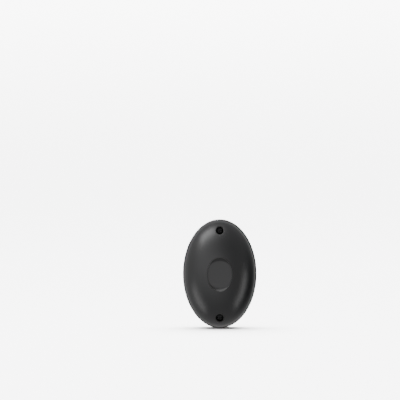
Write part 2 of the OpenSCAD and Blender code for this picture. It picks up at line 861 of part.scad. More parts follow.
module bridge_rectifier() {
    color(chip_colour) on_wall() on_board(bridge_place)
        package(bridge_w, bridge_l, bridge_h, 2, 2 * lead_pitch, bridge_leg_w);
}

module control_chip() {
    color(chip_colour) on_wall() on_board(chip_place)
        package(chip_w, chip_l, chip_h, 3, chip_leg_pitch, chip_leg_w);
}

module voltage_regulator() {
    color(chip_colour) on_wall() on_board(regulator_place) {
        translate([0, 0, regulator_legs]) difference() {
            cylinder(d = regulator_d, h = regulator_h, $fn = round_fn);
            translate([-regulator_d, regulator_flat, -over])
                cube([2 * regulator_d, regulator_d, regulator_h + 2 * over]);
        }
        for (leg = [-1, 0, 1]) translate([leg * regulator_pitch, 0, 0])
            cylinder(d = lead_d, h = regulator_legs + lead_d, $fn = small_fn);
    }
}

module axial(body_l) {
    translate([0, 0, axial_up]) rotate([0, 90, 0]) {
        cylinder(d = axial_d, h = body_l, center = true, $fn = small_fn);
        for (side = [-1, 1]) translate([0, 0, side * (body_l - axial_bulge_l) / 2])
            cylinder(d = axial_bulge_d, h = axial_bulge_l, center = true, $fn = small_fn);
        cylinder(d = lead_d, h = axial_span, center = true, $fn = small_fn);
    }
    for (side = [-1, 1]) translate([side * axial_span / 2, 0, 0]) {
        cylinder(d = lead_d, h = axial_up, $fn = small_fn);
        translate([0, 0, axial_up]) sphere(d = lead_d, $fn = small_fn);
    }
}

module protection_diode() {
    color(chip_colour) on_wall() on_board(diode_place) axial(axial_l);
}

module resistors() {
    color(amber_colour) on_wall() {
        on_board(lying_resistor_place) axial(axial_l);
        for (place = standing_resistor_places) on_board(place) rotate([0, 0, 90]) axial(axial_l);
    }
}

module solder_at(x, y) {
    translate([x, y, -board_t - solder_h])
        cylinder(d1 = solder_tip_d, d2 = solder_d, h = solder_h, $fn = small_fn);
}

module solder_joints() {
    color(tin_colour) on_wall() {
        for (way = [1:ways]) translate([way_x(way), bar_leg_up + bar_leg_t / 2, board_front])
            solder_at(0, 0);
        for (side = [-1, 1]) translate([side * lead_pitch / 2, 0, board_front]) solder_at(0, 0);
        on_board(led_place) for (side = [-1, 1]) solder_at(side * lead_pitch / 2, 0);
        on_board(header_place) for (pin = [0:header_pins_n - 1]) header_pin_place(pin) solder_at(0, 0);
        on_board(smoothing_place) for (side = [-1, 1]) solder_at(0, side * lead_pitch / 2);
        on_board(small_place) for (side = [-1, 1]) solder_at(0, side * lead_pitch / 2);
        on_board(relay_place) for (share = relay_pin_shares, side = [-1, 1])
            solder_at(share * relay_w, side * lead_pitch);
        on_board(bridge_place) for (x = [-1, 1], y = [-1, 1])
            solder_at(x * (bridge_w / 2 + leg_reach - leg_t / 2), y * lead_pitch);
        on_board(regulator_place) for (leg = [-1, 1]) solder_at(leg * lead_pitch / 2, 0);
        for (place = [lying_resistor_place, diode_place]) on_board(place)
            for (side = [-1, 1]) solder_at(side * axial_span / 2, 0);
        for (place = standing_resistor_places) on_board(place)
            for (side = [-1, 1]) solder_at(0, side * axial_span / 2);
    }
}

base();
cover();
cover_seal();
cover_screw(1);  // cover_screw_upper
cover_screw(-1);  // cover_screw_lower
screw_ring(1);  // screw_ring_upper
screw_ring(-1);  // screw_ring_lower
cable_grommet();
circuit_board();
board_screws();
lens_holder();
lens();
photodiode();
relay();
terminal_block();
terminal_contacts();
terminal_screw(1);  // terminal_screw_1
terminal_screw(2);  // terminal_screw_2
terminal_screw(3);  // terminal_screw_3
terminal_screw(4);  // terminal_screw_4
wire_clamp(1);  // wire_clamp_1
wire_clamp(2);  // wire_clamp_2
wire_clamp(3);  // wire_clamp_3
wire_clamp(4);  // wire_clamp_4
pin_header();
header_pins();
jumper_cap();
status_led();
smoothing_capacitor();
small_capacitor();
bridge_rectifier();
control_chip();
voltage_regulator();
protection_diode();
resistors();
solder_joints();
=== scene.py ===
"""Looks of an oval photocell for a gate, the receiver of a pair: pieces, finishes, light and camera.

Sizes are in millimetres and in the part's own directions: x to the right, up, and depth out from
the wall. at() turns them into the scene's metres. The wall is depth 0 and the dome faces the camera.
"""

import json
import math
from types import SimpleNamespace

import bmesh
import bpy
import numpy as np
from mathutils import Matrix, Vector

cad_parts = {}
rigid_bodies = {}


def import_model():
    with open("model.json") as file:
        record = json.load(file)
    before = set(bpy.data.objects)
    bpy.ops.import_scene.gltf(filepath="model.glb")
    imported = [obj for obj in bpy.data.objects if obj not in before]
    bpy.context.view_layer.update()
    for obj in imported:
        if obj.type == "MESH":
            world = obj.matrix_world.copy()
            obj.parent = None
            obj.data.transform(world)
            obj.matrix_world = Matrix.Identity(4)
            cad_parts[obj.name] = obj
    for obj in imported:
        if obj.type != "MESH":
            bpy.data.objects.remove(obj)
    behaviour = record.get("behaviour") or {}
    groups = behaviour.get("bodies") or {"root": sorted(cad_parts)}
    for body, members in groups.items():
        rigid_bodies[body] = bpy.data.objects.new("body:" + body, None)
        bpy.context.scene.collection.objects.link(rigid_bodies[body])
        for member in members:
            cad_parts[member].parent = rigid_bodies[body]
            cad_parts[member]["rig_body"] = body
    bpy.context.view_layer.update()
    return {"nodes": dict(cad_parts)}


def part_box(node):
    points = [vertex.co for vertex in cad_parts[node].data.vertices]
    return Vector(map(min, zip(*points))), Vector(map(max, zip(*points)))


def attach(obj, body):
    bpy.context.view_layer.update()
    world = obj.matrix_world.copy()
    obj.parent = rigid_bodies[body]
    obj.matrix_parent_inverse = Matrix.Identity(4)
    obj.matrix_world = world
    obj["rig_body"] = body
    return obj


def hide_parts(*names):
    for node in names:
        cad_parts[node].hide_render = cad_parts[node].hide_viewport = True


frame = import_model()
NODES = frame["nodes"]
MM = 0.001

# Shell sizes, as in the part's source
BODY = (59.0, 87.0)
HALF_W, HALF_H = BODY[0] / 2, BODY[1] / 2
BODY_DEPTH = 38.0
BASE_DEPTH = 13.0
BASE_DRAFT = 1.2
LIP = 0.9
LIP_T = 2.0
LIP_BEVEL = 0.6
WALL = 2.0
DISH = (19.9, 26.5)
DISH_DEPTH = 1.8
DISH_SLOPE_W = 28.0
TONGUE_T = 1.0
TONGUE_GAP = 0.2
TONGUE_H = 1.5
SCREW_UP = 34.5
WELL_D = 6.2
WELL_RING = 0.5
WELL_RING_DEPTH = 0.3
SEAT = 18.0
COLUMN_D = 9.0
SCREW_BORE = 3.3

# Shell sizes of the scene alone, as the photograph asks for
DISH_SIDE = 0.16
DISH_SLOPE = 2.8
DISH_SLOPE_CURVE = 1.35
DISH_SOFTNESS = 0.3
RIM_SOFTNESS = 0.16
BACK_SOFTNESS = 0.3
EASE = 0.14

# Base sizes
FLOOR = 2.2
GROOVE = 1.2
SEAL_W = 1.0
SEAL_H = 1.6
POST_D = 7.4
POST_TOP = 12.8
RIB = 1.4
RIB_DROP = 3
FLOOR_RIB_H = 1.6
SLOT = (4.2, 7.0)
SLOT_UP = 25.5
ENTRY_D = 9.0
ENTRY_GAP = 0.05
FLANGE_T = 0.8
CABLE_D = 5.0

# Board sizes
BOARD_UP = 1.75
BOARD_BACK = 8.0
BOARD_FRONT = 9.6
BOARD_CORNER = (17.5, 15.25)
BOARD_BORE = 2.6
STAND_D = 5.0
PAD_T = 0.035
TRACK_T = 0.03
PRINT_T = 0.025
WIRE_PITCH = 2.54
LEG_SPREAD = 1.27
WAY_PITCH = 5.08
AXIAL_UP = 1.3
AXIAL_SPAN = 8.6

# Steps round an oval, the distance that is welded, and the angle in degrees of a sharp edge
ROUND = 192
WELD = 0.001
SHARP = 40


def at(x, up, depth):
    """A place on the part as a point of the scene."""
    return Vector((x, -depth, up)) * MM


# Node trees, for shapes and for finishes


class Term:
    """One value inside a node tree. Sums and products of terms add Math nodes."""

    def __init__(self, graph, socket):
        self.graph, self.socket = graph, socket

    def __add__(self, other):
        return self.graph.math("ADD", self, other)

    def __radd__(self, other):
        return self.graph.math("ADD", other, self)

    def __sub__(self, other):
        return self.graph.math("SUBTRACT", self, other)

    def __rsub__(self, other):
        return self.graph.math("SUBTRACT", other, self)

    def __mul__(self, other):
        return self.graph.math("MULTIPLY", self, other)

    def __truediv__(self, other):
        return self.graph.math("DIVIDE", self, other)


class Graph:
    """A node tree being wired."""

    def __init__(self, tree):
        self.tree = tree

    def add(self, kind, inputs=None, **settings):
        """Add a node, set its options, and feed its inputs from numbers, sockets or terms."""
        node = self.tree.nodes.new(kind)
        for name, value in settings.items():
            setattr(node, name, value)
        for key, value in (inputs or {}).items():
            self.feed(node.inputs[key], value)
        return node

    def feed(self, socket, value):
        value = value.socket if isinstance(value, Term) else value
        if isinstance(value, bpy.types.NodeSocket):
            self.tree.links.new(value, socket)
        else:
            socket.default_value = value

    def math(self, operation, *values):
        node = self.add("ShaderNodeMath", dict(enumerate(values)), operation=operation)
        return Term(self, node.outputs[0])

    def split(self, vector):
        node = self.add("ShaderNodeSeparateXYZ", {0: vector})
        return [Term(self, socket) for socket in node.outputs]

    def join(self, x, y, z):
        return self.add("ShaderNodeCombineXYZ", {0: x, 1: y, 2: z}).outputs[0]


class Rule(Graph):
    """A Geometry Nodes tree with named inputs for its sizes."""

    def __init__(self, name, **inputs):
        super().__init__(bpy.data.node_groups.new(name, "GeometryNodeTree"))
        face = self.tree.interface
        face.new_socket(name="Geometry", in_out="INPUT", socket_type="NodeSocketGeometry")
        self.ids = {}
        for label, kind in inputs.items():
            title = label.replace("_", " ").capitalize()
            socket = face.new_socket(name=title, in_out="INPUT", socket_type="NodeSocket" + kind)
            self.ids[label] = socket.identifier
        face.new_socket(name="Geometry", in_out="OUTPUT", socket_type="NodeSocketGeometry")
        self.entry = self.add("NodeGroupInput")
        self.host = self.entry.outputs[0]

    def size(self, label):
        socket = next(s for s in self.entry.outputs if s.identifier == self.ids[label])
        return Term(self, socket)

    def close(self, geometry):
        """Weld the seams and poles, realize, and give the finish its slot."""
        welded = self.add("GeometryNodeMergeByDistance", {"Geometry": geometry, "Distance": WELD * MM})
        real = self.add("GeometryNodeRealizeInstances", {"Geometry": welded.outputs[0]})
        inputs = {"Geometry": real.outputs[0], "Material": self.size("finish")}
        dressed = self.add("GeometryNodeSetMaterial", inputs)
        self.add("NodeGroupOutput", {0: dressed.outputs[0]})

    def sheet(self, columns, rows):
        """A grid whose x runs once round, as an angle, and whose y counts the rows."""
        sizes = {"Size X": 1.0, "Size Y": 1.0, "Vertices X": columns + 1, "Vertices Y": rows}
        grid = self.add("GeometryNodeMeshGrid", sizes)
        x, y, _ = self.split(self.add("GeometryNodeInputPosition").outputs[0])
        angle = (x + 0.5) * math.tau
        row = self.math("ROUND", (y + 0.5) * (rows - 1))
        return grid.outputs["Mesh"], angle, row

    def sample(self, row):
        """The host's point number row, split into its three numbers."""
        options = {"data_type": "FLOAT_VECTOR", "domain": "POINT"}
        node = self.add("GeometryNodeSampleIndex", {"Geometry": self.host}, **options)
        value = next(s for s in node.inputs if s.name == "Value" and s.enabled)
        self.feed(value, self.add("GeometryNodeInputPosition").outputs[0])
        self.feed(node.inputs["Index"], row)
        return self.split(next(s for s in node.outputs if s.enabled))

    def count(self):
        node = self.add("GeometryNodeAttributeDomainSize", {"Geometry": self.host})
        return Term(self, node.outputs["Point Count"])

    def place(self, mesh, x, up, depth):
        y = self.math("MULTIPLY", depth, -1.0)
        node = self.add("GeometryNodeSetPosition", {"Geometry": mesh, "Position": self.join(x, y, up)})
        return node.outputs[0]


def oval_rule():
    """Each host point is an oval ring: its half width, half height and depth.

    A thread can be laid on the rings: a ridge that climbs one pitch a turn between two depths.
    """
    lengths = (
        "centre_x", "centre_up", "thread_height", "thread_pitch", "thread_from", "thread_to",
    )
    kinds = {label: "Float" for label in lengths}
    rule = Rule("oval_rings", columns="Int", **kinds, finish="Material")
    size = rule.size
    mesh, angle, row = rule.sheet(size("columns"), rule.count())
    half_w, half_h, depth = rule.sample(row)
    climb = rule.math("FRACT", depth / size("thread_pitch") - angle / math.tau)
    ridge = 1.0 - rule.math("ABSOLUTE", climb * 2.0 - 1.0)
    fade_in = (depth - size("thread_from")) / size("thread_pitch")
    fade_out = (size("thread_to") - depth) / size("thread_pitch")
    fade = rule.math("MINIMUM", fade_in, fade_out)
    fade = rule.math("MINIMUM", rule.math("MAXIMUM", fade, 0.0), 1.0)
    stand = ridge * fade * size("thread_height")
    x = (half_w + stand) * rule.math("COSINE", angle) + size("centre_x")
    up = (half_h + stand) * rule.math("SINE", angle) + size("centre_up")
    rule.close(rule.place(mesh, x, up, depth))
    return rule


def dome_sizes(inset):
    """Sizes of the skin that lies inset under the outer dome and dish, in millimetres.

    The dish's rim moves out by less than the inset, because it lies where dish and dome meet.
    """
    half_w, half_h = HALF_W - LIP, HALF_H - LIP
    foot = BASE_DEPTH + LIP_T
    rise = (BODY_DEPTH - foot) / math.sqrt(1 - (DISH[1] / 2 / half_h) ** 2) - inset
    rim_w, rim_h = DISH[0] / 2, DISH[1] / 2
    side_at = foot + (rise + inset) * math.sqrt(1 - (rim_w / half_w) ** 2)
    floor = BODY_DEPTH - DISH_DEPTH
    steep_run = rim_w * (side_at - floor) / DISH_SIDE
    return {
        "half_w": half_w - inset,
        "half_h": half_h - inset,
        "foot": foot,
        "rise": rise,
        "rim_w": rim_w + 0.7 * inset,
        "rim_h": rim_h + 0.8 * inset,
        "floor": floor - inset,
        "steep_w": rim_w + inset,
        "steep_h": rim_h / (1 + (BODY_DEPTH - side_at) / steep_run) + inset,
        "steep_at": side_at - inset,
        "steep_run": steep_run * (rim_w + inset) / rim_w,
        "slope_w": DISH_SLOPE_W / 2 + inset,
        "slope_h": rim_h + inset,
        "slope_run": DISH_SLOPE,
        "slope_rise": DISH_DEPTH,
    }


def dome_rule():
    """The front skin: a half ellipsoid with a flat-floored oval dish sunk into its middle.

    The dish has a steep wall, an oval cone that widens by its whole half width over its run, and at
    each end its floor bends up to the rim in a gentle scoop. Rings run out from the dish's middle.
    One ring lies on the rim, and the rings crowd towards it, because a smooth minimum rounds it off.
    """
    kinds = {label: "Float" for label in [*dome_sizes(0.0), "softness", "dish_softness"]}
    rule = Rule("domed_skin", columns="Int", dish_rings="Int", dome_rings="Int", **kinds, finish="Material")
    size = rule.size
    mesh, angle, row = rule.sheet(size("columns"), size("dish_rings") + size("dome_rings") + 1)
    root = lambda value: rule.math("SQRT", rule.math("MAXIMUM", value, 0.0))
    rim = size("rim_h") / size("half_h")
    in_dish = rule.math("MINIMUM", row / size("dish_rings"), 1.0)
    on_dome = rule.math("MAXIMUM", (row - size("dish_rings")) / size("dome_rings"), 0.0)
    crowd = 0.12
    dish_reach = rim * in_dish * ((2.0 - in_dish) * (1 - crowd) + crowd)
    lean = rule.math("ARCCOSINE", rim) * (1.0 - on_dome * (on_dome * (1 - crowd) + crowd))
    reach = dish_reach - rim + rule.math("COSINE", lean)
    widen = size("rim_w") * size("half_h") / (size("rim_h") * size("half_w")) - 1.0
    width_share = reach * (1.0 + widen * (1.0 - reach * reach) / (1.0 - rim * rim))
    x_share = width_share * rule.math("COSINE", angle)
    up_share = reach * rule.math("SINE", angle)
    x, up = x_share * size("half_w"), up_share * size("half_h")
    dome = size("foot") + size("rise") * root(1.0 - 1e-6 - x_share * x_share - up_share * up_share)
    outs = {}
    for part in ("steep", "slope"):
        out_x, out_up = x / size(part + "_w"), up / size(part + "_h")
        outs[part] = root(out_x * out_x + out_up * out_up)
    steep = size("steep_at") + (outs["steep"] - 1.0) * size("steep_run")
    climb = (outs["slope"] - 1.0) * size("slope_h") / size("slope_run") + 1.0
    bend = rule.math("POWER", rule.math("MAXIMUM", climb, 0.0), DISH_SLOPE_CURVE)
    scoop = size("floor") + size("slope_rise") * bend
    dish = rule.math("SMOOTH_MAX", steep, scoop, size("dish_softness"))
    depth = rule.math("SMOOTH_MIN", dome, dish, size("softness"))
    rule.close(rule.place(mesh, x, up, depth))
    return rule


def well_rule():
    """Rings round a well, each host point being its radius, its share of the dome's depth and an
    added depth, so that a ring with share 1 follows the dome's slope."""
    kinds = {label: "Float" for label in ["centre_up", "half_w", "half_h", "foot", "rise"]}
    rule = Rule("well_rings", columns="Int", **kinds, finish="Material")
    size = rule.size
    mesh, angle, row = rule.sheet(size("columns"), rule.count())
    radius, share, extra = rule.sample(row)
    x = radius * rule.math("COSINE", angle)
    up = radius * rule.math("SINE", angle) + size("centre_up")
    x_share, up_share = x / size("half_w"), up / size("half_h")
    left = rule.math("MAXIMUM", 1.0 - x_share * x_share - up_share * up_share, 0.0)
    dome = size("foot") + size("rise") * rule.math("SQRT", left)
    rule.close(rule.place(mesh, x, up, extra + dome * share / MM))
    return rule


OVAL = oval_rule()
DOME = dome_rule()
WELL = well_rule()


def solid(name, mesh):
    obj = bpy.data.objects.new(name, mesh)
    bpy.context.scene.collection.objects.link(obj)
    return obj


def baked(obj):
    """Turn what the modifiers make into a plain mesh and take them off."""
    graph = bpy.context.evaluated_depsgraph_get()
    mesh = bpy.data.meshes.new_from_object(obj.evaluated_get(graph), depsgraph=graph)
    mesh.name = obj.name
    obj.modifiers.clear()
    obj.data = mesh
    return obj


def grown(name, rule, rows, **sizes):
    """Run a rule on a row of host points, in millimetres, and keep its plain mesh."""
    mesh = bpy.data.meshes.new(name)
    mesh.from_pydata([Vector(row) * MM for row in rows] or [(0, 0, 0)], [], [])
    obj = solid(name, mesh)
    modifier = obj.modifiers.new(name, "NODES")
    modifier.node_group = rule.tree
    for label, value in sizes.items():
        modifier[rule.ids[label]] = value * MM if isinstance(value, float) else value
    return baked(obj)


def eased(rows, radius, steps, closed=False):
    """Round every corner of a row of points that isn't nearly straight."""
    points = [Vector(row) for row in rows]
    ends = len(points)
    made = []
    for i, point in enumerate(points):
        before, after = points[i - 1] - point, points[(i + 1) % ends] - point
        at_end = not closed and i in (0, ends - 1)
        tiny = min(before.length, after.length) < 1e-6
        if at_end or tiny or before.angle(after) > math.radians(165):
            made.append(tuple(point))
            continue
        cut = min(radius, before.length / 2, after.length / 2)
        start, end = point + before.normalized() * cut, point + after.normalized() * cut
        for step in range(steps + 1):
            t = step / steps
            made.append(tuple(start * (1 - t) ** 2 + point * 2 * t * (1 - t) + end * t * t))
    if closed:
        made.append(made[0])
    return made


def turned(name, profile, x, up, ease, columns, closed=False, **thread):
    """A piece turned about a line along the depth; its profile is radius and depth, in millimetres."""
    rows = eased([(r, r, depth) for r, depth in profile], ease, 3, closed)
    return grown(name, OVAL, rows, columns=columns, centre_x=float(x), centre_up=float(up), **thread)


def rod(radius, back, front):
    """The profile of a plain round rod between two depths."""
    return [(0, back), (radius, back), (radius, front), (0, front)]


def hoop(inner, outer, back, front):
    """The closed profile of a plain round ring between two depths."""
    return [(inner, back), (outer, back), (outer, front), (inner, front)]


def ringed(name, rows, ease=EASE, closed=False):
    """A piece of oval rings, each a half width, a half height and a depth."""
    return grown(name, OVAL, eased(rows, ease, 4, closed), columns=ROUND)


def combined(obj, operation, *tools):
    """Join tools to a closed solid or cut them out of it."""
    for tool in tools:
        modifier = obj.modifiers.new("join", "BOOLEAN")
        modifier.operation, modifier.object, modifier.solver = operation, tool, "EXACT"
    baked(obj)
    for tool in tools:
        bpy.data.objects.remove(tool)
    return obj


def opened(*meshes, weld=0.0):
    """The meshes as one that can be edited; points nearer than weld, in metres, become one."""
    mesh = bmesh.new()
    for data in meshes:
        mesh.from_mesh(data)
    if weld:
        bmesh.ops.remove_doubles(mesh, verts=mesh.verts, dist=weld)
    return mesh


def kept(mesh, obj):
    """Write an edited mesh into an object."""
    mesh.to_mesh(obj.data)
    mesh.free()
    return obj


def shaded(obj, angle):
    """Shade smooth, up to a limit between faces."""
    obj.data.shade_smooth()
    obj.data.set_sharp_from_angle(angle=math.radians(angle))
    return obj


def smooth(obj, angle=32):
    """Weld, face outwards, and shade smooth."""
    mesh = opened(obj.data, weld=2e-7)
    bmesh.ops.dissolve_degenerate(mesh, edges=mesh.edges, dist=1e-7)
    bmesh.ops.recalc_face_normals(mesh, faces=mesh.faces)
    return shaded(kept(mesh, obj), angle)


def finished(obj, finish, *nodes):
    """Give a made piece its finish, and put it in place of the CAD nodes that it stands for.

    It rides on their body, and a piece that stands for none rides on the base.
    """
    body = NODES[nodes[0]]["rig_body"] if nodes else "base"
    obj.data.materials.clear()
    obj.data.materials.append(finish.material)
    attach(obj, body)
    if nodes:
        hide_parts(*nodes)


def bevelled(obj, width):
    """Round off every sharp edge."""
    modifier = obj.modifiers.new("ease", "BEVEL")
    modifier.width, modifier.segments = width * MM, 2
    modifier.limit_method, modifier.angle_limit = "ANGLE", math.radians(SHARP)
    modifier.use_clamp_overlap = True
    return baked(obj)


def welded(node, bevel):
    """A clean copy of a CAD node with its edges eased, for pieces whose shape is already right."""
    obj = solid(node + "_piece", NODES[node].data.copy())
    mesh = opened(obj.data, weld=1e-6)
    bmesh.ops.dissolve_limit(mesh, angle_limit=math.radians(0.4), verts=mesh.verts, edges=mesh.edges)
    kept(mesh, obj).data.materials.clear()
    return shaded(bevelled(obj, bevel), SHARP)


# Finishes


class Finish:
    """A material, and the record's slot that it belongs to."""

    def __init__(self, material, slot):
        self.material, self.slot = material, slot


def finish(name, slot, colour, roughness, grain, height, shift, spread, **sockets):
    """A finish whose colour and gloss wander a little and whose surface has a fine grain.

    grain and height are the size and height of the grain in millimetres. shift is how much of the
    colour wanders, and spread how much of the roughness.
    """
    material = bpy.data.materials.new(name)
    material.use_nodes = True
    graph = Graph(material.node_tree)
    shader = material.node_tree.nodes["Principled BSDF"]
    for label, value in sockets.items():
        shader.inputs[label.replace("_", " ")].default_value = value
    place = graph.add("ShaderNodeTexCoord").outputs["Object"]
    cloud_size = 9
    scales = {"cloud": (1 / (cloud_size * MM), 3.0), "fine": (1 / (grain * MM), 2.0)}
    noise = {}
    for kind, (scale, detail) in scales.items():
        inputs = {"Vector": place, "Scale": scale, "Detail": detail}
        noise[kind] = graph.add("ShaderNodeTexNoise", inputs).outputs["Fac"]
    low = [c * (1 - shift) for c in colour] + [1.0]
    high = [min(1.0, c * (1 + shift)) for c in colour] + [1.0]
    tint = graph.add("ShaderNodeMix", {"Factor": noise["cloud"]}, data_type="RGBA")
    tint.inputs[6].default_value, tint.inputs[7].default_value = low, high
    graph.feed(shader.inputs["Base Color"], tint.outputs[2])
    limits = {"To Min": roughness - spread / 2, "To Max": roughness + spread / 2}
    gloss = graph.add("ShaderNodeMapRange", {"Value": noise["fine"], **limits})
    graph.feed(shader.inputs["Roughness"], gloss.outputs[0])
    relief = {"Height": noise["fine"], "Strength": 1.0, "Distance": height * MM}
    graph.feed(shader.inputs["Normal"], graph.add("ShaderNodeBump", relief).outputs[0])
    return Finish(material, slot)


SHELL = finish("satin_black_shell", "shell", (0.011, 0.011, 0.012), 0.36, 0.35, 0.0022, 0.10, 0.05)
RUBBER = finish("soft_rubber", "rubber", (0.018, 0.018, 0.019), 0.68, 0.25, 0.006, 0.2, 0.16)
BLACK_STEEL = finish(
    "blackened_screw", "black_screw", (0.026, 0.026, 0.028), 0.5, 0.2, 0.003, 0.2, 0.2, Metallic=0.6
)
BOARD = finish("green_board", "board", (0.012, 0.12, 0.045), 0.32, 0.5, 0.003, 0.15, 0.06)
STEEL = finish("zinc_plated_steel", "steel", (0.52, 0.53, 0.55), 0.3, 0.2, 0.002, 0.06, 0.2, Metallic=1.0)
HOLDER = finish("matt_black_holder", "holder", (0.012, 0.012, 0.013), 0.55, 0.3, 0.004, 0.15, 0.1)
LENS = finish(
    "clear_lens", "lens", (0.93, 0.95, 0.97), 0.03, 2.0, 0.0, 0.02, 0.02, Transmission_Weight=1.0, IOR=1.49
)
RESIN = finish("dark_resin", "dark_resin", (0.018, 0.018, 0.02), 0.42, 0.2, 0.004, 0.15, 0.12)
RELAY = finish("blue_relay_case", "relay_case", (0.012, 0.07, 0.32), 0.3, 0.3, 0.002, 0.08, 0.06)
TERMINAL = finish("green_terminal_case", "terminal_case", (0.02, 0.26, 0.09), 0.42, 0.3, 0.003, 0.1, 0.08)
TIN = finish("tinned_metal", "tin", (0.66, 0.66, 0.64), 0.24, 0.3, 0.003, 0.06, 0.18, Metallic=1.0)
GOLD = finish("gilt_pins", "gold", (0.83, 0.58, 0.2), 0.22, 0.3, 0.001, 0.06, 0.1, Metallic=1.0)
RED = finish("red_lamp", "red_resin", (0.65, 0.02, 0.01), 0.12, 1.0, 0.0, 0.05, 0.02, Transmission_Weight=0.6)
SLEEVE = finish("capacitor_sleeve", "sleeve", (0.012, 0.014, 0.04), 0.28, 0.5, 0.002, 0.1, 0.06)
RESISTOR = finish("resistor_paint", "resistor", (0.50, 0.33, 0.17), 0.45, 0.3, 0.003, 0.1, 0.1)
TRACK = finish("lacquered_copper", None, (0.055, 0.30, 0.11), 0.3, 0.4, 0.002, 0.12, 0.06)
PRINT = finish("white_lacquer", None, (0.72, 0.73, 0.70), 0.55, 0.2, 0.002, 0.06, 0.1)
BROWN = finish("brown_band", None, (0.10, 0.035, 0.012), 0.5, 0.2, 0.002, 0.1, 0.1)
BAND_RED = finish("red_band", None, (0.45, 0.02, 0.012), 0.5, 0.2, 0.002, 0.1, 0.1)


# Tools for the smaller pieces


def box_of(node):
    """A CAD node's box in millimetres: its middle, width and height, and its back and front depths."""
    low, high = (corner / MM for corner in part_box(node))
    return span(low, high)


def span(low, high):
    return SimpleNamespace(
        x=(low[0] + high[0]) / 2,
        up=(low[2] + high[2]) / 2,
        w=high[0] - low[0],
        h=high[2] - low[2],
        back=-high[1],
        front=-low[1],
    )


def islands(node):
    """The boxes of a CAD node's separate solids, from left to right and from low to high."""
    mesh = opened(NODES[node].data, weld=1e-6)
    left, found = set(mesh.verts), []
    while left:
        seeds, part = [left.pop()], []
        while seeds:
            vert = seeds.pop()
            part.append(vert.co / MM)
            near = {edge.other_vert(vert) for edge in vert.link_edges} & left
            left -= near
            seeds.extend(near)
        found.append(span(*([end(p[i] for p in part) for i in range(3)] for end in (min, max))))
    mesh.free()
    return sorted(found, key=lambda box: (round(box.x, 2), round(box.up, 2)))


def skinned(name, rings, looped=False):
    """A solid skinned over rings of equally many points, with flat ends or closed on itself."""
    mesh = bmesh.new()
    skins = [[mesh.verts.new(point) for point in ring] for ring in rings]
    if not looped:
        mesh.faces.new(skins[0])
        mesh.faces.new(skins[-1])
    for low, high in zip(skins, skins[1:] + skins[:1] if looped else skins[1:]):
        for i in range(len(low)):
            mesh.faces.new((low[i - 1], low[i], high[i], high[i - 1]))
    bmesh.ops.recalc_face_normals(mesh, faces=mesh.faces)
    return kept(mesh, solid(name, bpy.data.meshes.new(name)))


def lofted(name, rings, ease=0.0):
    """A solid over rings of equally many places (x, up, depth)."""
    obj = skinned(name, [[at(*place) for place in ring] for ring in rings])
    return bevelled(obj, ease) if ease else obj


def level(outline, depth):
    return [(x, up, depth) for x, up in outline]


def slab(name, outline, back, front, ease=0.0):
    """A flat piece of that outline between two depths."""
    return lofted(name, [level(outline, back), level(outline, front)], ease)


def brick(name, x, up, w, h, back, front, ease=0.0):
    return slab(name, rounded(w, h, 0, 0, x, up), back, front, ease)


def rounded(w, h, radius, steps, x=0.0, up=0.0):
    """The outline of a rectangle with round corners."""
    made = []
    for quarter, (side, end) in enumerate(((1, 1), (-1, 1), (-1, -1), (1, -1))):
        for step in range(steps + 1):
            turn = math.radians(90 * (quarter + (step / steps if steps else 0.5)))
            made.append((
                x + side * (w / 2 - radius) + radius * math.cos(turn),
                up + end * (h / 2 - radius) + radius * math.sin(turn),
            ))
    return made


def cased(name, box, corner, levels, steps):
    """A moulded case that fills a CAD box: rounded rectangles, each an inset and a depth."""
    rings = []
    for inset, depth in levels:
        w, h, radius = box.w - 2 * inset, box.h - 2 * inset, max(corner - inset / 2, 0.02)
        rings.append(level(rounded(w, h, radius, steps, box.x, box.up), depth))
    return smooth(lofted(name, rings))


def rim(name, outer, inner, back, front):
    """A flat closed band between two outlines of equally many points."""
    corners = [(outer, back), (outer, front), (inner, front), (inner, back)]
    rings = [[at(x, up, depth) for x, up in outline] for outline, depth in corners]
    return skinned(name, rings, looped=True)


def tube(name, path, radius, bend=0.5):
    """A round wire along a path of places (x, up, depth), its corners bent."""
    points, sides = [at(*place) for place in eased(path, bend, 5)], 12
    rings, side = [], None
    for i, point in enumerate(points):
        ahead = (points[min(i + 1, len(points) - 1)] - points[max(i - 1, 0)]).normalized()
        side = ahead.orthogonal() if side is None else side - ahead * side.dot(ahead)
        side.normalize()
        other = ahead.cross(side)
        turns = [math.tau * step / sides for step in range(sides)]
        ring = [point + (side * math.cos(turn) + other * math.sin(turn)) * radius * MM for turn in turns]
        rings.append(ring)
    return skinned(name, rings)


def gathered(name, *parts, weld=0.0):
    """One object of several: solids that at most rest on each other, or open skins to weld."""
    obj = kept(opened(*[part.data for part in parts], weld=weld), parts[0])
    for part in parts[1:]:
        bpy.data.objects.remove(part)
    obj.name = obj.data.name = name
    return obj


def shank(radius, start, end, pitch):
    """Rows along a threaded shank, ten to a turn of its thread."""
    count = round(10 * (end - start) / pitch)
    return [(radius, start + (end - start) * i / count) for i in range(count + 1)]


def cross_tool(x, up, ends, turn=0.0):
    """A tool that cuts a cross recess. ends are a depth, a length and a width each."""
    rings = []
    for depth, length, width in ends:
        a, b = length / 2, width / 2
        ring = []
        for step in range(4):
            spin = math.radians(turn + 90 * step)
            cos, sin = math.cos(spin), math.sin(spin)
            for p, q in ((a, -b), (a, b), (b, b)):
                ring.append((x + p * cos - q * sin, up + p * sin + q * cos, depth))
        rings.append(ring)
    return smooth(lofted("recess", rings))


def arc(radius, start, end, steps, x=0.0, up=0.0):
    """Points along an arc between two angles in degrees."""
    turns = [math.radians(start + (end - start) * i / steps) for i in range(steps + 1)]
    return [(x + radius * math.cos(turn), up + radius * math.sin(turn)) for turn in turns]


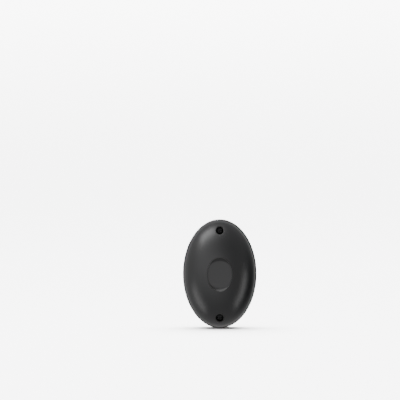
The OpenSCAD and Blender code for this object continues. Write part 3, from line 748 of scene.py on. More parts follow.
def repeat_rule():
    """Copies of a piece on the host's points, each turned about the depth by the point's turn."""
    rule = Rule("repeated_piece", piece="Object", finish="Material")
    source = rule.add("GeometryNodeObjectInfo", {"Object": rule.size("piece"), "As Instance": True})
    turn = rule.add("GeometryNodeInputNamedAttribute", {"Name": "turn"}, data_type="FLOAT")
    spin = rule.join(0.0, next(s for s in turn.outputs if s.enabled), 0.0)
    copies = rule.add(
        "GeometryNodeInstanceOnPoints",
        {"Points": rule.host, "Instance": source.outputs["Geometry"], "Rotation": spin},
    )
    rule.close(copies.outputs[0])
    return rule


REPEAT = repeat_rule()


def repeated(name, piece, places, paint):
    """Copies of a piece at places (x, up, depth, turn in degrees), as one plain mesh."""
    mesh = bpy.data.meshes.new(name)
    mesh.from_pydata([at(*place[:3]) for place in places], [], [])
    turns = mesh.attributes.new("turn", "FLOAT", "POINT")
    for i, place in enumerate(places):
        turns.data[i].value = -math.radians(place[3])
    obj = solid(name, mesh)
    modifier = obj.modifiers.new(name, "NODES")
    modifier.node_group = REPEAT.tree
    modifier[REPEAT.ids["piece"]] = piece
    modifier[REPEAT.ids["finish"]] = paint.material
    baked(obj)
    bpy.data.objects.remove(piece)
    return obj


# Cover


def soft_min(a, b, softness):
    """The smaller of two numbers, with the corner between them rounded off, as the rules do it."""
    near = np.clip(softness - np.abs(a - b), 0, None) / softness
    return np.minimum(a, b) - near**3 * softness / 6


def skin_depth(s, softness, x, up):
    """What dome_rule gives for places on the part, in millimetres."""
    left = 1 - (x / s["half_w"]) ** 2 - (up / s["half_h"]) ** 2
    dome = s["foot"] + s["rise"] * np.sqrt(np.clip(left, 0, None))
    steep_out = np.hypot(x / s["steep_w"], up / s["steep_h"])
    slope_out = np.hypot(x / s["slope_w"], up / s["slope_h"])
    steep = s["steep_at"] + (steep_out - 1) * s["steep_run"]
    climb = np.clip((slope_out - 1) * s["slope_h"] / s["slope_run"] + 1, 0, None)
    scoop = s["floor"] + s["slope_rise"] * climb**DISH_SLOPE_CURVE
    dish = -soft_min(-steep, -scoop, DISH_SOFTNESS)
    return soft_min(dome, dish, softness)


def all_of(items, label, width=1, kind=np.float32):
    """One property of every item as an array, with that many numbers a row."""
    values = np.empty(len(items) * width, kind)
    items.foreach_get(label, values)
    return values.reshape(-1, width) if width > 1 else values


def skin_normals(mesh, skins):
    """Give each corner that lies on a ruled skin the rule's own normal.

    The wells are cut through the dome, and the odd faces that a cut leaves would dent its gloss.
    """
    step, past_dish, near_skin, near_dome, facing = 0.002, 2, 0.012, 0.002, 0.9
    x, y, up = all_of(mesh.vertices, "co", 3).astype(np.float64).T / MM
    depth = -y
    corners = all_of(mesh.loops, "vertex_index", 1, np.int32)
    normals = all_of(mesh.corner_normals, "vector", 3)
    sides = all_of(mesh.polygons, "loop_total", 1, np.int32)
    flat = np.repeat(all_of(mesh.polygons, "normal", 3), sides, axis=0)
    for s, softness, sense in skins:
        across, along = skin_depth(s, softness, x + step, up), skin_depth(s, softness, x, up + step)
        fall_x = (across - skin_depth(s, softness, x - step, up)) / (2 * step)
        fall_up = (along - skin_depth(s, softness, x, up - step)) / (2 * step)
        near_dish = np.stack([-fall_x, np.ones_like(x), -fall_up], 1)
        lift = (depth - s["foot"]) / s["rise"] ** 2
        on_dome = np.stack([x / s["half_w"] ** 2, lift, up / s["half_h"] ** 2], 1)
        out = (x / s["rim_w"]) ** 2 + (up / s["rim_h"]) ** 2
        normal = np.where(out[:, None] < past_dish, near_dish, on_dome)
        normal /= np.maximum(np.linalg.norm(normal, axis=1, keepdims=True), 1e-12)
        exact = np.stack([normal[:, 0], -normal[:, 1], normal[:, 2]], 1) * sense
        share = (x / s["half_w"]) ** 2 + (up / s["half_h"]) ** 2
        off = np.abs(share + ((depth - s["foot"]) / s["rise"]) ** 2 - 1)
        fits = np.abs(depth - skin_depth(s, softness, x, up)) < near_skin
        fits |= (out > past_dish) & (off < near_dome) & (depth > s["foot"] - 0.01)
        use = fits[corners] & ((exact[corners] * flat).sum(1) > facing)
        normals[use] = exact[corners][use]
    mesh.normals_split_custom_set([tuple(n) for n in normals.tolist()])


def make_cover():
    """An even shell with a lip, a tongue and a dish, and a well in each of its two columns."""
    outer, inner = dome_sizes(0.0), dome_sizes(WALL)
    cut = 1 - 2 * LIP_BEVEL / BODY[0]
    tongue_w, tongue_h = HALF_W - LIP - WALL, HALF_H - LIP - WALL
    edge = [
        (outer["half_w"], outer["half_h"], outer["foot"]),
        (HALF_W * cut, HALF_H * cut, outer["foot"]),
        (HALF_W, HALF_H, outer["foot"] - LIP_BEVEL),
        (HALF_W, HALF_H, BASE_DEPTH),
        (tongue_w, tongue_h, BASE_DEPTH),
        (tongue_w, tongue_h, BASE_DEPTH - TONGUE_H),
        (tongue_w - TONGUE_T, tongue_h - TONGUE_T, BASE_DEPTH - TONGUE_H),
        (tongue_w - TONGUE_T, tongue_h - TONGUE_T, inner["foot"]),
        (inner["half_w"], inner["half_h"], inner["foot"]),
    ]
    skins = [ringed("cover_edge", edge)]
    counts = {"columns": ROUND, "dish_rings": 34}
    for name, sizes, softness, rings in (
        ("front", outer, RIM_SOFTNESS, 64), ("back", inner, BACK_SOFTNESS, 40),
    ):
        lengths = {**sizes, "softness": softness, "dish_softness": DISH_SOFTNESS}
        skins.append(grown(name, DOME, [], dome_rings=rings, **counts, **lengths))
    cover = smooth(gathered("cover_shell", *skins, weld=2e-6))
    lengths = {label: outer[label] for label in ("half_w", "half_h", "foot", "rise")}
    column, ease = COLUMN_D / 2, 0.1
    column_rows = [(0, 0, BASE_DEPTH), (column - ease, 0, BASE_DEPTH), (column, 0, BASE_DEPTH + ease)]
    column_rows += [(column, 1, -1), (0, 1, -1)]
    for operation, rows, columns in (("UNION", column_rows, 64), ("DIFFERENCE", well_rows(), 96)):
        tools = [
            smooth(grown("well", WELL, rows, columns=columns, centre_up=side * SCREW_UP, **lengths))
            for side in (-1, 1)
        ]
        combined(cover, operation, *tools)
    smooth(cover)
    skin_normals(cover.data, [(outer, RIM_SOFTNESS, 1), (inner, BACK_SOFTNESS, -1)])
    finished(cover, SHELL, "cover")


def well_rows():
    """The well from the bore behind its seat to the shallow ring that its mouth sinks into."""
    bore, wall, ring = SCREW_BORE / 2, WELL_D / 2, WELL_D / 2 + WELL_RING
    chamfer, corner, ease, steps = 0.3, 0.15, 0.22, 6
    outside, past_dome = ring + 0.14, BODY_DEPTH + 7
    rows = [
        (0, 0, BASE_DEPTH - 1),
        (bore + chamfer, 0, BASE_DEPTH - 1),
        (bore + chamfer, 0, BASE_DEPTH),
        (bore, 0, BASE_DEPTH + chamfer),
        (bore, 0, SEAT),
        (wall - corner, 0, SEAT),
        (wall, 0, SEAT + corner),
    ]
    for step in range(steps + 1):
        turn = math.radians(90) * step / steps
        radius = wall + ease * (1 - math.cos(turn))
        rows.append((radius, 1, -WELL_RING_DEPTH - ease * (1 - math.sin(turn))))
    rows += [
        (ring - 0.06, 1, -WELL_RING_DEPTH),
        (ring - 0.01, 1, -WELL_RING_DEPTH + 0.05),
        (ring + 0.02, 1, -0.12),
        (outside, 1, 0.06),
        (outside, 0, past_dome),
        (0, 0, past_dome),
    ]
    return rows


# The base and what seals it


def make_base():
    """The back half: a drafted oval tray with posts, ribs, wall slots and the cable's hole."""
    back = 1 - BASE_DRAFT / HALF_W
    wall = LIP + WALL - TONGUE_GAP
    groove_out, groove_floor, fillet = (wall - GROOVE) / 2, BASE_DEPTH - SEAL_H, 0.5
    insets = [
        (0, 0, BASE_DEPTH), (groove_out, 0, BASE_DEPTH), (groove_out, 0, groove_floor),
        (groove_out, GROOVE, groove_floor), (groove_out, GROOVE, BASE_DEPTH), (wall, 0, BASE_DEPTH),
        (wall, 0, FLOOR + fillet), (wall, fillet, FLOOR),
    ]
    rows = [(0, 0, 0), (HALF_W * back, HALF_H * back, 0)]
    rows += [(HALF_W - inset - more, HALF_H - inset - more, depth) for inset, more, depth in insets]
    base = smooth(ringed("base_shell", rows + [(0, 0, FLOOR)]))
    low, pilot_floor, pilot_r, mouth_r, ease = FLOOR / 2, 1.2, 1.5, 1.95, 0.25
    parts, cuts = [], []
    for side, screw in zip((-1, 1), islands("board_screws")):
        post_up, slot_up, stand_x = side * SCREW_UP, side * SLOT_UP, side * BOARD_CORNER[0]
        parts.append(turned("post", rod(POST_D / 2, low, POST_TOP), 0, post_up, 0.3, 48))
        reach = HALF_H - wall - SCREW_UP + 0.7
        rib_up = side * (SCREW_UP + reach / 2)
        parts.append(brick("rib", 0, rib_up, RIB, reach, low, POST_TOP - RIB_DROP, ease))
        slot_rim = rounded(SLOT[0] + 2, SLOT[1] + 2, SLOT[0] / 2 + 0.99, 10, 0, slot_up)
        parts.append(slab("slot_rim", slot_rim, low, FLOOR + 1, ease))
        rib_front = FLOOR + FLOOR_RIB_H
        parts.append(brick("floor_rib", stand_x, BOARD_UP, RIB, 2 * BOARD_CORNER[1], low, rib_front, ease))
        for end in (-1, 1):
            stand = rod(STAND_D / 2, low, BOARD_BACK)
            parts.append(turned("stand", stand, stand_x, BOARD_UP + end * BOARD_CORNER[1], 0.15, 40))
        pilot = [(0, pilot_floor), (pilot_r, pilot_floor), (pilot_r, POST_TOP - 0.4)]
        pilot += [(mouth_r, POST_TOP + 0.05), (mouth_r, BASE_DEPTH), (0, BASE_DEPTH)]
        cuts.append(turned("pilot", pilot, 0, post_up, 0.05, 40))
        slot = rounded(SLOT[0], SLOT[1], SLOT[0] / 2 - 0.01, 10, 0, slot_up)
        cuts.append(slab("slot", slot, -1, FLOOR + 2))
        bore = rod(BOARD_BORE / 2, pilot_floor, BOARD_BACK + 1)
        cuts.append(turned("board_bore", bore, screw.x, screw.up, 0.05, 32))
    entry, hole_r = box_of("cable_grommet"), ENTRY_D / 2
    recess = entry.w / 2 + ENTRY_GAP
    hole = [(0, -1), (recess, -1), (recess, FLANGE_T), (hole_r, FLANGE_T)]
    hole += [(hole_r, FLOOR + 1), (0, FLOOR + 1)]
    cuts.append(turned("entry", hole, entry.x, entry.up, 0.05, 64))
    cuts.append(turned("knock_out", rod(hole_r, FLANGE_T, FLOOR + 1), -entry.x, entry.up, 0.05, 64))
    combined(base, "UNION", *[smooth(part) for part in parts])
    combined(base, "DIFFERENCE", *[smooth(cut) for cut in cuts])
    finished(smooth(base), SHELL, "base")


def make_seals():
    """The ring in the base's groove, and one under each cover screw's head."""
    box = box_of("cover_seal")
    inset = (BODY[0] - box.w) / 2
    half_w, half_h = HALF_W - inset, HALF_H - inset
    rows = [(half_w, half_h, box.back), (half_w, half_h, box.front)]
    rows += [(half_w - SEAL_W, half_h - SEAL_W, box.front), (half_w - SEAL_W, half_h - SEAL_W, box.back)]
    finished(smooth(ringed("seal", rows, 0.35, closed=True)), RUBBER, "cover_seal")
    for node in ("screw_ring_upper", "screw_ring_lower"):
        box, hole_r = box_of(node), 1.5
        rows = hoop(hole_r, box.w / 2, box.back, box.front)
        ring = turned(node + "_piece", rows, box.x, box.up, 0.22, 48, closed=True)
        finished(smooth(ring), RUBBER, node)


def make_grommet():
    """A soft entry whose nose has ridges, so that it bends with the cable."""
    box = box_of("cable_grommet")
    flange, neck, bore = box.w / 2, ENTRY_D / 2 - ENTRY_GAP, CABLE_D / 2
    nose, nose_wall, taper, ridges = FLOOR + 1.2, 1.7, 0.8, 3
    rows = [(bore, box.back), (flange, box.back), (flange, FLANGE_T), (neck, FLANGE_T), (neck, FLOOR)]
    rows += [(flange, FLOOR), (flange, nose), (bore + nose_wall, nose)]
    for i in range(ridges):
        share = (i + 0.5) / ridges
        depth = nose + (box.front - nose) * share
        radius = bore + nose_wall - taper * share
        rows += [(radius - 0.18, depth - 0.4), (radius + 0.22, depth - 0.1), (radius - 0.18, depth + 0.5)]
    rows += [(bore + nose_wall - taper, box.front), (bore, box.front)]
    grommet = turned("grommet", rows, box.x, box.up, 0.12, 64, closed=True)
    finished(smooth(grommet), RUBBER, "cable_grommet")


# Screws


def make_screw(name, node, box, kind, thread_to, tool):
    """A screw from its tip, up its thread, to a head with a domed top that a tool cuts into.

    kind holds the thread's core, pitch, ridge and start, the collar and the depth under the head, and
    the head's dome.
    """
    core, collar, head, top, under = kind.core, kind.collar, box.w / 2, box.front, kind.under
    rows = [(0, box.back), (core * 0.6, box.back), (core, box.back + 0.6)]
    rows += shank(core, box.back + 0.7, under - 0.4, kind.pitch)
    rows += [(collar, under - 0.3), (collar, under), (head, under), (head, top - kind.dome)]
    steps = 5
    for i in range(1, steps + 1):
        share = i / steps
        lift = top - kind.dome + kind.dome * math.sin(share * math.pi / 2)
        rows.append((head * (1 - 0.42 * share**2), lift))
    thread = {"thread_height": kind.ridge, "thread_pitch": kind.pitch, "thread_to": thread_to}
    thread["thread_from"] = box.back + kind.start
    rows.append((0, top))
    screw = smooth(turned(name, rows, box.x, box.up, kind.ease, kind.columns, **thread), SHARP)
    combined(screw, "DIFFERENCE", tool)
    finished(smooth(screw, SHARP), kind.paint, node)


def make_screws():
    """The two cover screws and the two that hold the board, with crossed recesses."""
    for node in ("cover_screw_upper", "cover_screw_lower"):
        box = box_of(node)
        kind = SimpleNamespace(
            core=1.16, collar=1.45, pitch=1.1, ridge=0.28, start=0.3, dome=0.8, under=box.front - 2.2,
            ease=0.05, columns=40, paint=BLACK_STEEL,
        )
        tool = cross_tool(box.x, box.up, [(box.front + 0.2, 3.3, 0.85), (box.front - 1.3, 2.0, 0.5)])
        make_screw(node + "_piece", node, box, kind, SEAT + 0.3, tool)
    kind = SimpleNamespace(
        core=0.95, collar=1.25, pitch=0.9, ridge=0.28, start=0.3, dome=1.2, under=BOARD_FRONT,
        ease=0.05, columns=36, paint=STEEL,
    )
    for i, box in enumerate(islands("board_screws")):
        tool = cross_tool(box.x, box.up, [(box.front + 0.2, 2.9, 0.75), (box.front - 1.1, 1.7, 0.45)], 45)
        make_screw(f"board_screw_{i + 1}", "board_screws", box, kind, BOARD_FRONT - 0.2, tool)


# The circuit board


def make_board():
    """The board with its holes, and a tinned pad round each lead on both faces."""
    box = box_of("circuit_board")
    board = slab("board", rounded(box.w, box.h, 4, 10, box.x, box.up), box.back, box.front)
    rows = rod(1.45, box.back - 1, box.front + 1)
    screws = islands("board_screws")
    holes = [smooth(turned("hole", rows, screw.x, screw.up, 0.0, 32)) for screw in screws]
    combined(board, "DIFFERENCE", *holes)
    finished(smooth(bevelled(board, 0.06)), BOARD, "circuit_board")
    pads = islands("solder_joints")
    for name, depth in (("front_pads", box.front), ("back_pads", box.back - PAD_T)):
        ring = rim("pad", arc(0.95, 0, 345, 23), arc(0.38, 0, 345, 23), 0, PAD_T)
        finished(repeated(name, ring, [(pad.x, pad.up, depth, 0) for pad in pads], TIN), TIN)
    make_solder(pads, box.back)
    make_traces(pads, box)
    make_print(box)


def make_solder(pads, back):
    """Small cones with hollow sides, one on each lead behind the board."""
    rows = [(0, 0), (0.9, 0), (0.72, -0.07), (0.54, -0.22), (0.42, -0.45), (0.36, -0.75)]
    rows += [(0.28, -0.88), (0, -0.9)]
    cone = smooth(turned("cone", rows, 0, 0, 0.03, 20), 60)
    made = repeated("solder", cone, [(pad.x, pad.up, back, 0) for pad in pads], TIN)
    finished(smooth(made, 60), TIN, "solder_joints")


def ribbon(name, path, width, back, front):
    """A flat strip of copper along a path of places (x, up), square across its bends."""
    left, right = [], []
    for i, here in enumerate(path):
        before, after = path[max(i - 1, 0)], path[min(i + 1, len(path) - 1)]
        into = Vector((here[0] - before[0], here[1] - before[1]))
        out = Vector((after[0] - here[0], after[1] - here[1]))
        into = (into if into.length else out).normalized()
        out = (out if out.length else into).normalized()
        along = (into + out).normalized()
        side = Vector((-along.y, along.x)) * (width / 2 / max(along.dot(out), 0.5))
        left.append((here[0] + side.x, here[1] + side.y))
        right.append((here[0] - side.x, here[1] - side.y))
    return slab(name, left + right[::-1], back, front)


def route(start, end, straight_first):
    """A way between two pads: one straight run and one at 45 degrees."""
    dx, dy = end[0] - start[0], end[1] - start[1]
    slant = min(abs(dx), abs(dy))
    across = (math.copysign(slant, dx), math.copysign(slant, dy))
    if straight_first:
        bend = (end[0] - across[0], end[1] - across[1])
    else:
        bend = (start[0] + across[0], start[1] + across[1])
    points = [start]
    for point in (bend, end):
        if math.dist(point, points[-1]) > 0.05:
            points.append(point)
    return points


def make_traces(pads, board):
    """Copper tracks under the green lacquer. Each end snaps to the pad that is nearest to it."""
    def pad(x, up):
        return min(((p.x, p.up) for p in pads), key=lambda p: math.dist(p, (x, up)))

    fronts = [
        ((-6, -10), (-13.6, -1.8), True, 0.5),
        ((-1, -10), (-1.3, 0), True, 0.4),
        ((4, -10), (1.3, 0), False, 0.4),
        ((9, -10), (13, -8.6), False, 0.8),
        ((-15.5, 1), (-12.9, 6.6), False, 0.4),
        ((-10.3, 6.6), (-9.8, 12), True, 0.5),
        ((12.4, 5.7), (7.6, 13.2), False, 0.4),
        ((15, 5.7), (17.7, 4.6), False, 0.4),
        ((7.6, 15.8), (2.1, 18.8), False, 0.6),
        ((13.7, 11.8), (17.7, 13.2), True, 0.4),
        ((-0.4, 18.8), (-7, 17), True, 0.5),
        ((-18, -9.7), (-18, -7.1), True, 0.5),
        ((-15.5, -4.3), (-18, -7.1), False, 0.4),
        ((19, -8.6), (19, -3.6), True, 0.8),
    ]
    backs = [
        ((-6, -10), (-9.4, -9.7), True, 0.9),
        ((-1, -10), (-9.4, -7.1), False, 0.5),
        ((9, -10), (13, -8.6), True, 0.9),
        ((13, -3.6), (1.3, 0), False, 0.4),
        ((19, -3.6), (17.7, 4.6), True, 0.6),
        ((-1.3, 0), (-10.3, 6.6), False, 0.4),
        ((-12.9, 6.6), (-9.8, 12), False, 0.5),
        ((-15.5, 1), (-12.9, 6.6), True, 0.4),
        ((2.1, 10.2), (7.6, 13.2), True, 0.5),
        ((-0.4, 10.2), (2.1, 10.2), True, 0.5),
        ((12.4, 5.7), (13.7, 9.2), True, 0.4),
        ((13.7, 11.8), (7.6, 15.8), True, 0.5),
        ((-4, 17), (-0.4, 18.8), False, 0.7),
    ]
    for name, nets, back in (
        ("front_tracks", fronts, board.front), ("back_tracks", backs, board.back - TRACK_T),
    ):
        strips = []
        for start, end, straight_first, width in nets:
            path = route(pad(*start), pad(*end), straight_first)
            strips.append(ribbon("track", path, width, back, back + TRACK_T))
        finished(gathered(name, *strips), TRACK)


def make_print(board):
    """Plain outlines round the parts, in white lacquer."""
    line, back, front = 0.16, board.front, board.front + PRINT_T
    frames = []
    for node, room in (
        ("relay", 0.22), ("terminal_block", 0.1), ("bridge_rectifier", 0.2), ("control_chip", 0.2),
        ("pin_header", 0.3), ("protection_diode", 0.25),
    ):
        box = box_of(node)
        outer = rounded(box.w + 2 * (room + line), box.h + 2 * (room + line), 0.5, 4, box.x, box.up)
        inner = rounded(box.w + 2 * room, box.h + 2 * room, 0.35, 4, box.x, box.up)
        frames.append(rim("frame", outer, inner, back, front))
    for node in ("smoothing_capacitor", "small_capacitor", "status_led", "lens_holder"):
        box = box_of(node)
        radius = box.w / 2 + 0.12
        circles = [arc(r, 0, 354, 59, box.x, box.up) for r in (radius + line, radius)]
        frames.append(rim("circle", *circles, back, front))
    finished(gathered("board_print", *frames), PRINT)


# The optics


def make_lens_holder():
    """A tube with a foot, a collar, four webs, and baffle rings inside against stray light."""
    box, lens = box_of("lens_holder"), box_of("lens")
    foot, tube_r, collar = box.w / 2, box.w / 2 - 0.8, box.w / 2 - 0.3
    inner, pocket = lens.w / 2 - 0.8, lens.w / 2 + 0.1
    foot_t, collar_h, web_h, web_half, web_root = 1.4, 2.6, 9, 0.6, tube_r - 0.7
    rows = [(inner, box.back), (foot, box.back), (foot, box.back + foot_t), (tube_r, box.back + foot_t)]
    rows += [(tube_r, box.front - collar_h), (collar, box.front - collar_h), (collar, box.front)]
    rows += [(pocket, box.front), (pocket, lens.back), (inner, lens.back)]
    baffles, groove, slant = 9, inner + 0.4, 0.3
    pitch = (lens.back - box.back - 3) / baffles
    for i in range(baffles):
        depth = lens.back - 1 - pitch * i
        rows += [(inner, depth), (groove, depth - slant)]
        rows += [(groove, depth - pitch + slant), (inner, depth - pitch)]
    holder = smooth(turned("lens_tube", rows, box.x, box.up, 0.18, 96, closed=True), 34)
    profile = [(web_root, 0), (foot, 0), (foot, foot_t), (tube_r, web_h), (web_root, web_h)]
    webs = []
    for web in range(4):
        turn = math.radians(45 + 90 * web)
        out, side = Vector((math.cos(turn), math.sin(turn))), Vector((-math.sin(turn), math.cos(turn)))
        rings = []
        for offset in (-web_half, web_half):
            places = [out * r + side * offset for r, _ in profile]
            rings.append([(p.x, p.y, box.back + depth) for p, (_, depth) in zip(places, profile)])
        webs.append(lofted("web", rings, 0.15))
    combined(holder, "UNION", *webs)
    finished(smooth(holder, 34), HOLDER, "lens_holder")


def make_lens():
    """Flat at the back and domed in front, with a flat rim that its holder grips."""
    box, steps = box_of("lens"), 20
    edge, cap = box.back + 1.2, box.w / 2 - 0.7
    bulge = box.front - edge
    ball = (cap**2 + bulge**2) / (2 * bulge)
    rows = [(0, box.back), (box.w / 2, box.back), (box.w / 2, edge), (cap, edge)]
    lean = math.asin(cap / ball)
    for i in range(1, steps + 1):
        turn = lean * (1 - i / steps)
        rows.append((ball * math.sin(turn), box.front - ball * (1 - math.cos(turn))))
    lens = smooth(turned("lens_piece", rows, box.x, box.up, 0.08, 96), 30)
    finished(lens, LENS, "lens")


def legs(name, box, top):
    """Two straight wire legs from the board."""
    wires = []
    for side in (-1, 1):
        x = box.x + side * LEG_SPREAD
        wires.append(tube("leg", [(x, box.up, box.back), (x, box.up, top)], 0.27))
    finished(smooth(gathered(name, *wires), 60), TIN)


def make_bulb(node, name, foot_h, radius, rim_t, ease, columns, paint, into):
    """A lamp or a diode: resin with a rim at the foot and a round end, on two legs that reach into it."""
    box, steps = box_of(node), 12
    foot = box.back + foot_h
    rows = [(0, foot), (box.w / 2, foot), (box.w / 2, foot + rim_t), (radius, foot + rim_t)]
    for i in range(steps + 1):
        turn = math.radians(90) * i / steps
        rows.append((radius * math.cos(turn), box.front - radius + radius * math.sin(turn)))
    resin = smooth(turned(name + "_resin", rows, box.x, box.up, ease, columns))
    finished(resin, paint, node)
    legs(name + "_legs", box, foot + into)
    return box, foot


def make_bulbs():
    """The receiving diode, and the red lamp with the metal cup and post inside it."""
    make_bulb("photodiode", "photodiode", 2, 2.5, 1.0, 0.12, 64, RESIN, 0.2)
    box, foot = make_bulb("status_led", "led", 5, 1.5, 0.8, 0.1, 48, RED, 0.3)
    start, post_x = foot + 0.35, box.x + 0.75
    cup = [(0, 0), (0.3, 0), (0.34, 1.5), (0.72, 2.1), (0.66, 2.15), (0.4, 1.85), (0, 1.8)]
    anvil = turned("anvil", [(r, start + depth) for r, depth in cup], box.x - 0.45, box.up, 0.02, 24)
    post = tube("post", [(post_x, box.up, start), (post_x, box.up, foot + 2.3)], 0.22)
    finished(smooth(gathered("led_frame", anvil, post)), TIN)


# The larger parts on the board


def make_relay():
    """A sealed case with a seam, a vent and a mark, on four small feet."""
    box = box_of("relay")
    seam = box.back + 1.9
    levels = [
        (0.35, box.back + 0.4), (0.08, box.back + 0.55), (0.0, box.back + 0.8), (0.0, seam - 0.12),
        (0.12, seam), (0.12, seam + 0.15), (0.0, seam + 0.27), (0.0, box.front - 0.7),
        (0.08, box.front - 0.3), (0.3, box.front - 0.08), (0.7, box.front),
    ]
    case = cased("relay_case", box, 1.0, levels, 5)
    dimple = [(0, -0.35), (0.5, -0.35), (0.7, 0.1), (0, 0.1)]
    vent = [(r, box.front + depth) for r, depth in dimple]
    vent = smooth(turned("vent", vent, box.x - 5.6, box.up + 3.2, 0.05, 32))
    mark = rounded(6, 0.22, 0.1, 3, box.x, box.up - 3.4)
    mark = slab("mark", mark, box.front - 0.14, box.front + 0.1)
    combined(case, "DIFFERENCE", vent, mark)
    feet, foot, inset = [], rod(0.6, box.back, box.back + 0.7), 1.2
    for side in (-1, 1):
        for end in (-1, 1):
            x, up = box.x + side * (box.w / 2 - inset), box.up + end * (box.h / 2 - inset)
            feet.append(turned("foot", foot, x, up, 0.1, 24))
    finished(smooth(case), RELAY, "relay")
    finished(smooth(gathered("relay_feet", *feet)), RELAY)


def make_can(node):
    """An electrolytic capacitor: a shrunk sleeve, a scored metal top and a pale stripe."""
    box = box_of(node)
    radius, height = box.w / 2, box.front - box.back
    edge, neck = 0.08 * radius, box.back + 0.16 * height
    mouth, top_at = radius - 3 * edge, box.front - 1.4 * edge
    rows = [
        (0, box.back + 0.05), (radius * 0.8, box.back + 0.05), (radius * 0.86, box.back),
        (radius, box.back + 0.3), (radius, neck), (radius * 0.93, neck + 0.03 * height),
        (radius, neck + 0.06 * height), (radius, box.front - 2 * edge),
        (radius - 2 * edge, box.front), (mouth, box.front - 0.5 * edge), (mouth, top_at), (0, top_at),
    ]
    sleeve = smooth(turned(node + "_sleeve", rows, box.x, box.up, 0.14, 64))
    finished(sleeve, SLEEVE, node)
    lid_r, lid = mouth - 0.02, box.front - edge
    top = smooth(turned(node + "_lid", rod(lid_r, lid - 0.8, lid), box.x, box.up, 0.12, 48))
    score = [(lid + 0.1, 1.5 * lid_r, 0.28), (lid - 0.16, 1.4 * lid_r, 0.1)]
    combined(top, "DIFFERENCE", cross_tool(box.x, box.up, score, 20))
    finished(smooth(top), TIN)
    outer = arc(radius + 0.03, 205, 245, 12, box.x, box.up)
    inner = arc(radius - 0.05, 245, 205, 12, box.x, box.up)
    stripe = slab(node + "_stripe", outer + inner, neck + 0.07 * height, box.front - 2.2 * edge)
    finished(smooth(stripe), PRINT)


def make_terminal_block():
    """The housing, with a groove between each two ways, its screws, clamps and contacts."""
    block = welded("terminal_block", 0.1)
    box, half, past = box_of("terminal_block"), 0.22, 0.01
    side_up = box.up - box.h / 2
    grooves = []
    for i in (-1, 0, 1):
        x = box.x + i * WAY_PITCH
        over = [(x - half, side_up - past), (x + half, side_up - past), (x, side_up + half)]
        grooves.append(slab("groove", over, box.back - 1, box.front + 1))
        notch = [(x - half, box.front + past), (x + half, box.front + past), (x, box.front - half)]
        rings = [[(p, box.up + end, depth) for p, depth in notch] for end in (-box.h, box.h)]
        grooves.append(lofted("groove", rings))
    combined(block, "DIFFERENCE", *[smooth(groove) for groove in grooves])
    finished(smooth(block, SHARP), TERMINAL, "terminal_block")
    finished(welded("terminal_contacts", 0.08), TIN, "terminal_contacts")
    for number in range(1, 5):
        node = f"wire_clamp_{number}"
        finished(welded(node, 0.1), TIN, node)
        node = f"terminal_screw_{number}"
        box = box_of(node)
        kind = SimpleNamespace(
            core=1.0, collar=1.2, pitch=0.45, ridge=0.2, start=0.2, dome=0.35, under=box.front - 2,
            ease=0.04, columns=32, paint=STEEL,
        )
        slot = brick("slot", box.x, box.up, 2 * box.w, 0.6, box.front - 0.9, box.front + 1)
        make_screw(node + "_piece", node, box, kind, box.front - 2.2, slot)


def make_header():
    """Three pins in a notched bar, and the cap that joins two of them."""
    box = box_of("pin_header")
    pins = islands("header_pins")
    cut, outline = 0.45, []
    for side in (1, -1):
        for pin in pins[::side]:
            low, high = pin.up - side * WIRE_PITCH / 2, pin.up + side * WIRE_PITCH / 2
            edge = box.x + side * box.w / 2
            inset = edge - side * cut
            outline += [(inset, low), (edge, low + side * cut), (edge, high - side * cut), (inset, high)]
    outline = [p for i, p in enumerate(outline) if math.dist(p, outline[i - 1]) > 0.01]
    bar = slab("header_bar", outline, box.back, box.front, 0.08)
    finished(smooth(bar, SHARP), RESIN, "pin_header")
    made = []
    for pin in pins:
        levels = [(0.18, pin.back), (0.0, pin.back + 0.4), (0.0, pin.front - 0.55), (0.2, pin.front)]
        made.append(cased("pin", pin, 0.1, levels, 2))
    finished(gathered("header_pins_piece", *made), GOLD, "header_pins")
    box = box_of("jumper_cap")
    levels = [(0.12, box.back), (0.0, box.back + 0.15), (0.0, box.front - 0.3)]
    levels += [(0.1, box.front - 0.08), (0.3, box.front)]
    cap = cased("jumper_shell", box, 0.4, levels, 4)
    cuts = [brick("window", box.x, box.up, 0.9, 3.3, box.front - 0.35, box.front + 1)]
    hole, ridges = 0.76, 3
    for pin in pins[:2]:
        cuts.append(brick("socket", pin.x, pin.up, hole, hole, box.back - 1, pin.front + 0.2))
    for side in (-1, 1):
        for i in range(ridges):
            depth = box.front - 1.0 - 0.8 * i
            cuts.append(brick("grip", box.x + side * box.w / 2, box.up, 0.3, 3.2, depth - 0.2, depth + 0.2))
    combined(cap, "DIFFERENCE", *cuts)
    finished(smooth(cap), RESIN, "jumper_cap")


# Parts with legs and leads


def laid(obj):
    """Turn a piece that was made along the depth to lie along x."""
    obj.data.transform(Matrix.Rotation(math.radians(90), 4, "Z"))
    return obj


def axial_places(node):
    return [(box.x, box.up, BOARD_FRONT + AXIAL_UP, 90 if box.h > box.w else 0) for box in islands(node)]


def lead_pair(name, places, half_body):
    """Both bent wires of each axial part."""
    wires = []
    for side in (-1, 1):
        end = side * AXIAL_SPAN / 2
        path = [(side * (half_body - 0.3), 0, 0), (end, 0, 0), (end, 0, -AXIAL_UP)]
        wires.append(tube("wire", path, 0.28, 0.7))
    made = repeated(name, smooth(gathered("wires", *wires), 60), places, TIN)
    finished(smooth(made, 60), TIN)


def band(name, at_x, width, radius, places, paint):
    """A thin painted ring round each axial part."""
    rows = hoop(radius - 0.1, radius, at_x - width / 2, at_x + width / 2)
    ring = laid(smooth(turned("ring", rows, 0, 0, 0.02, 32, closed=True)))
    finished(repeated(name, ring, places, paint), paint)


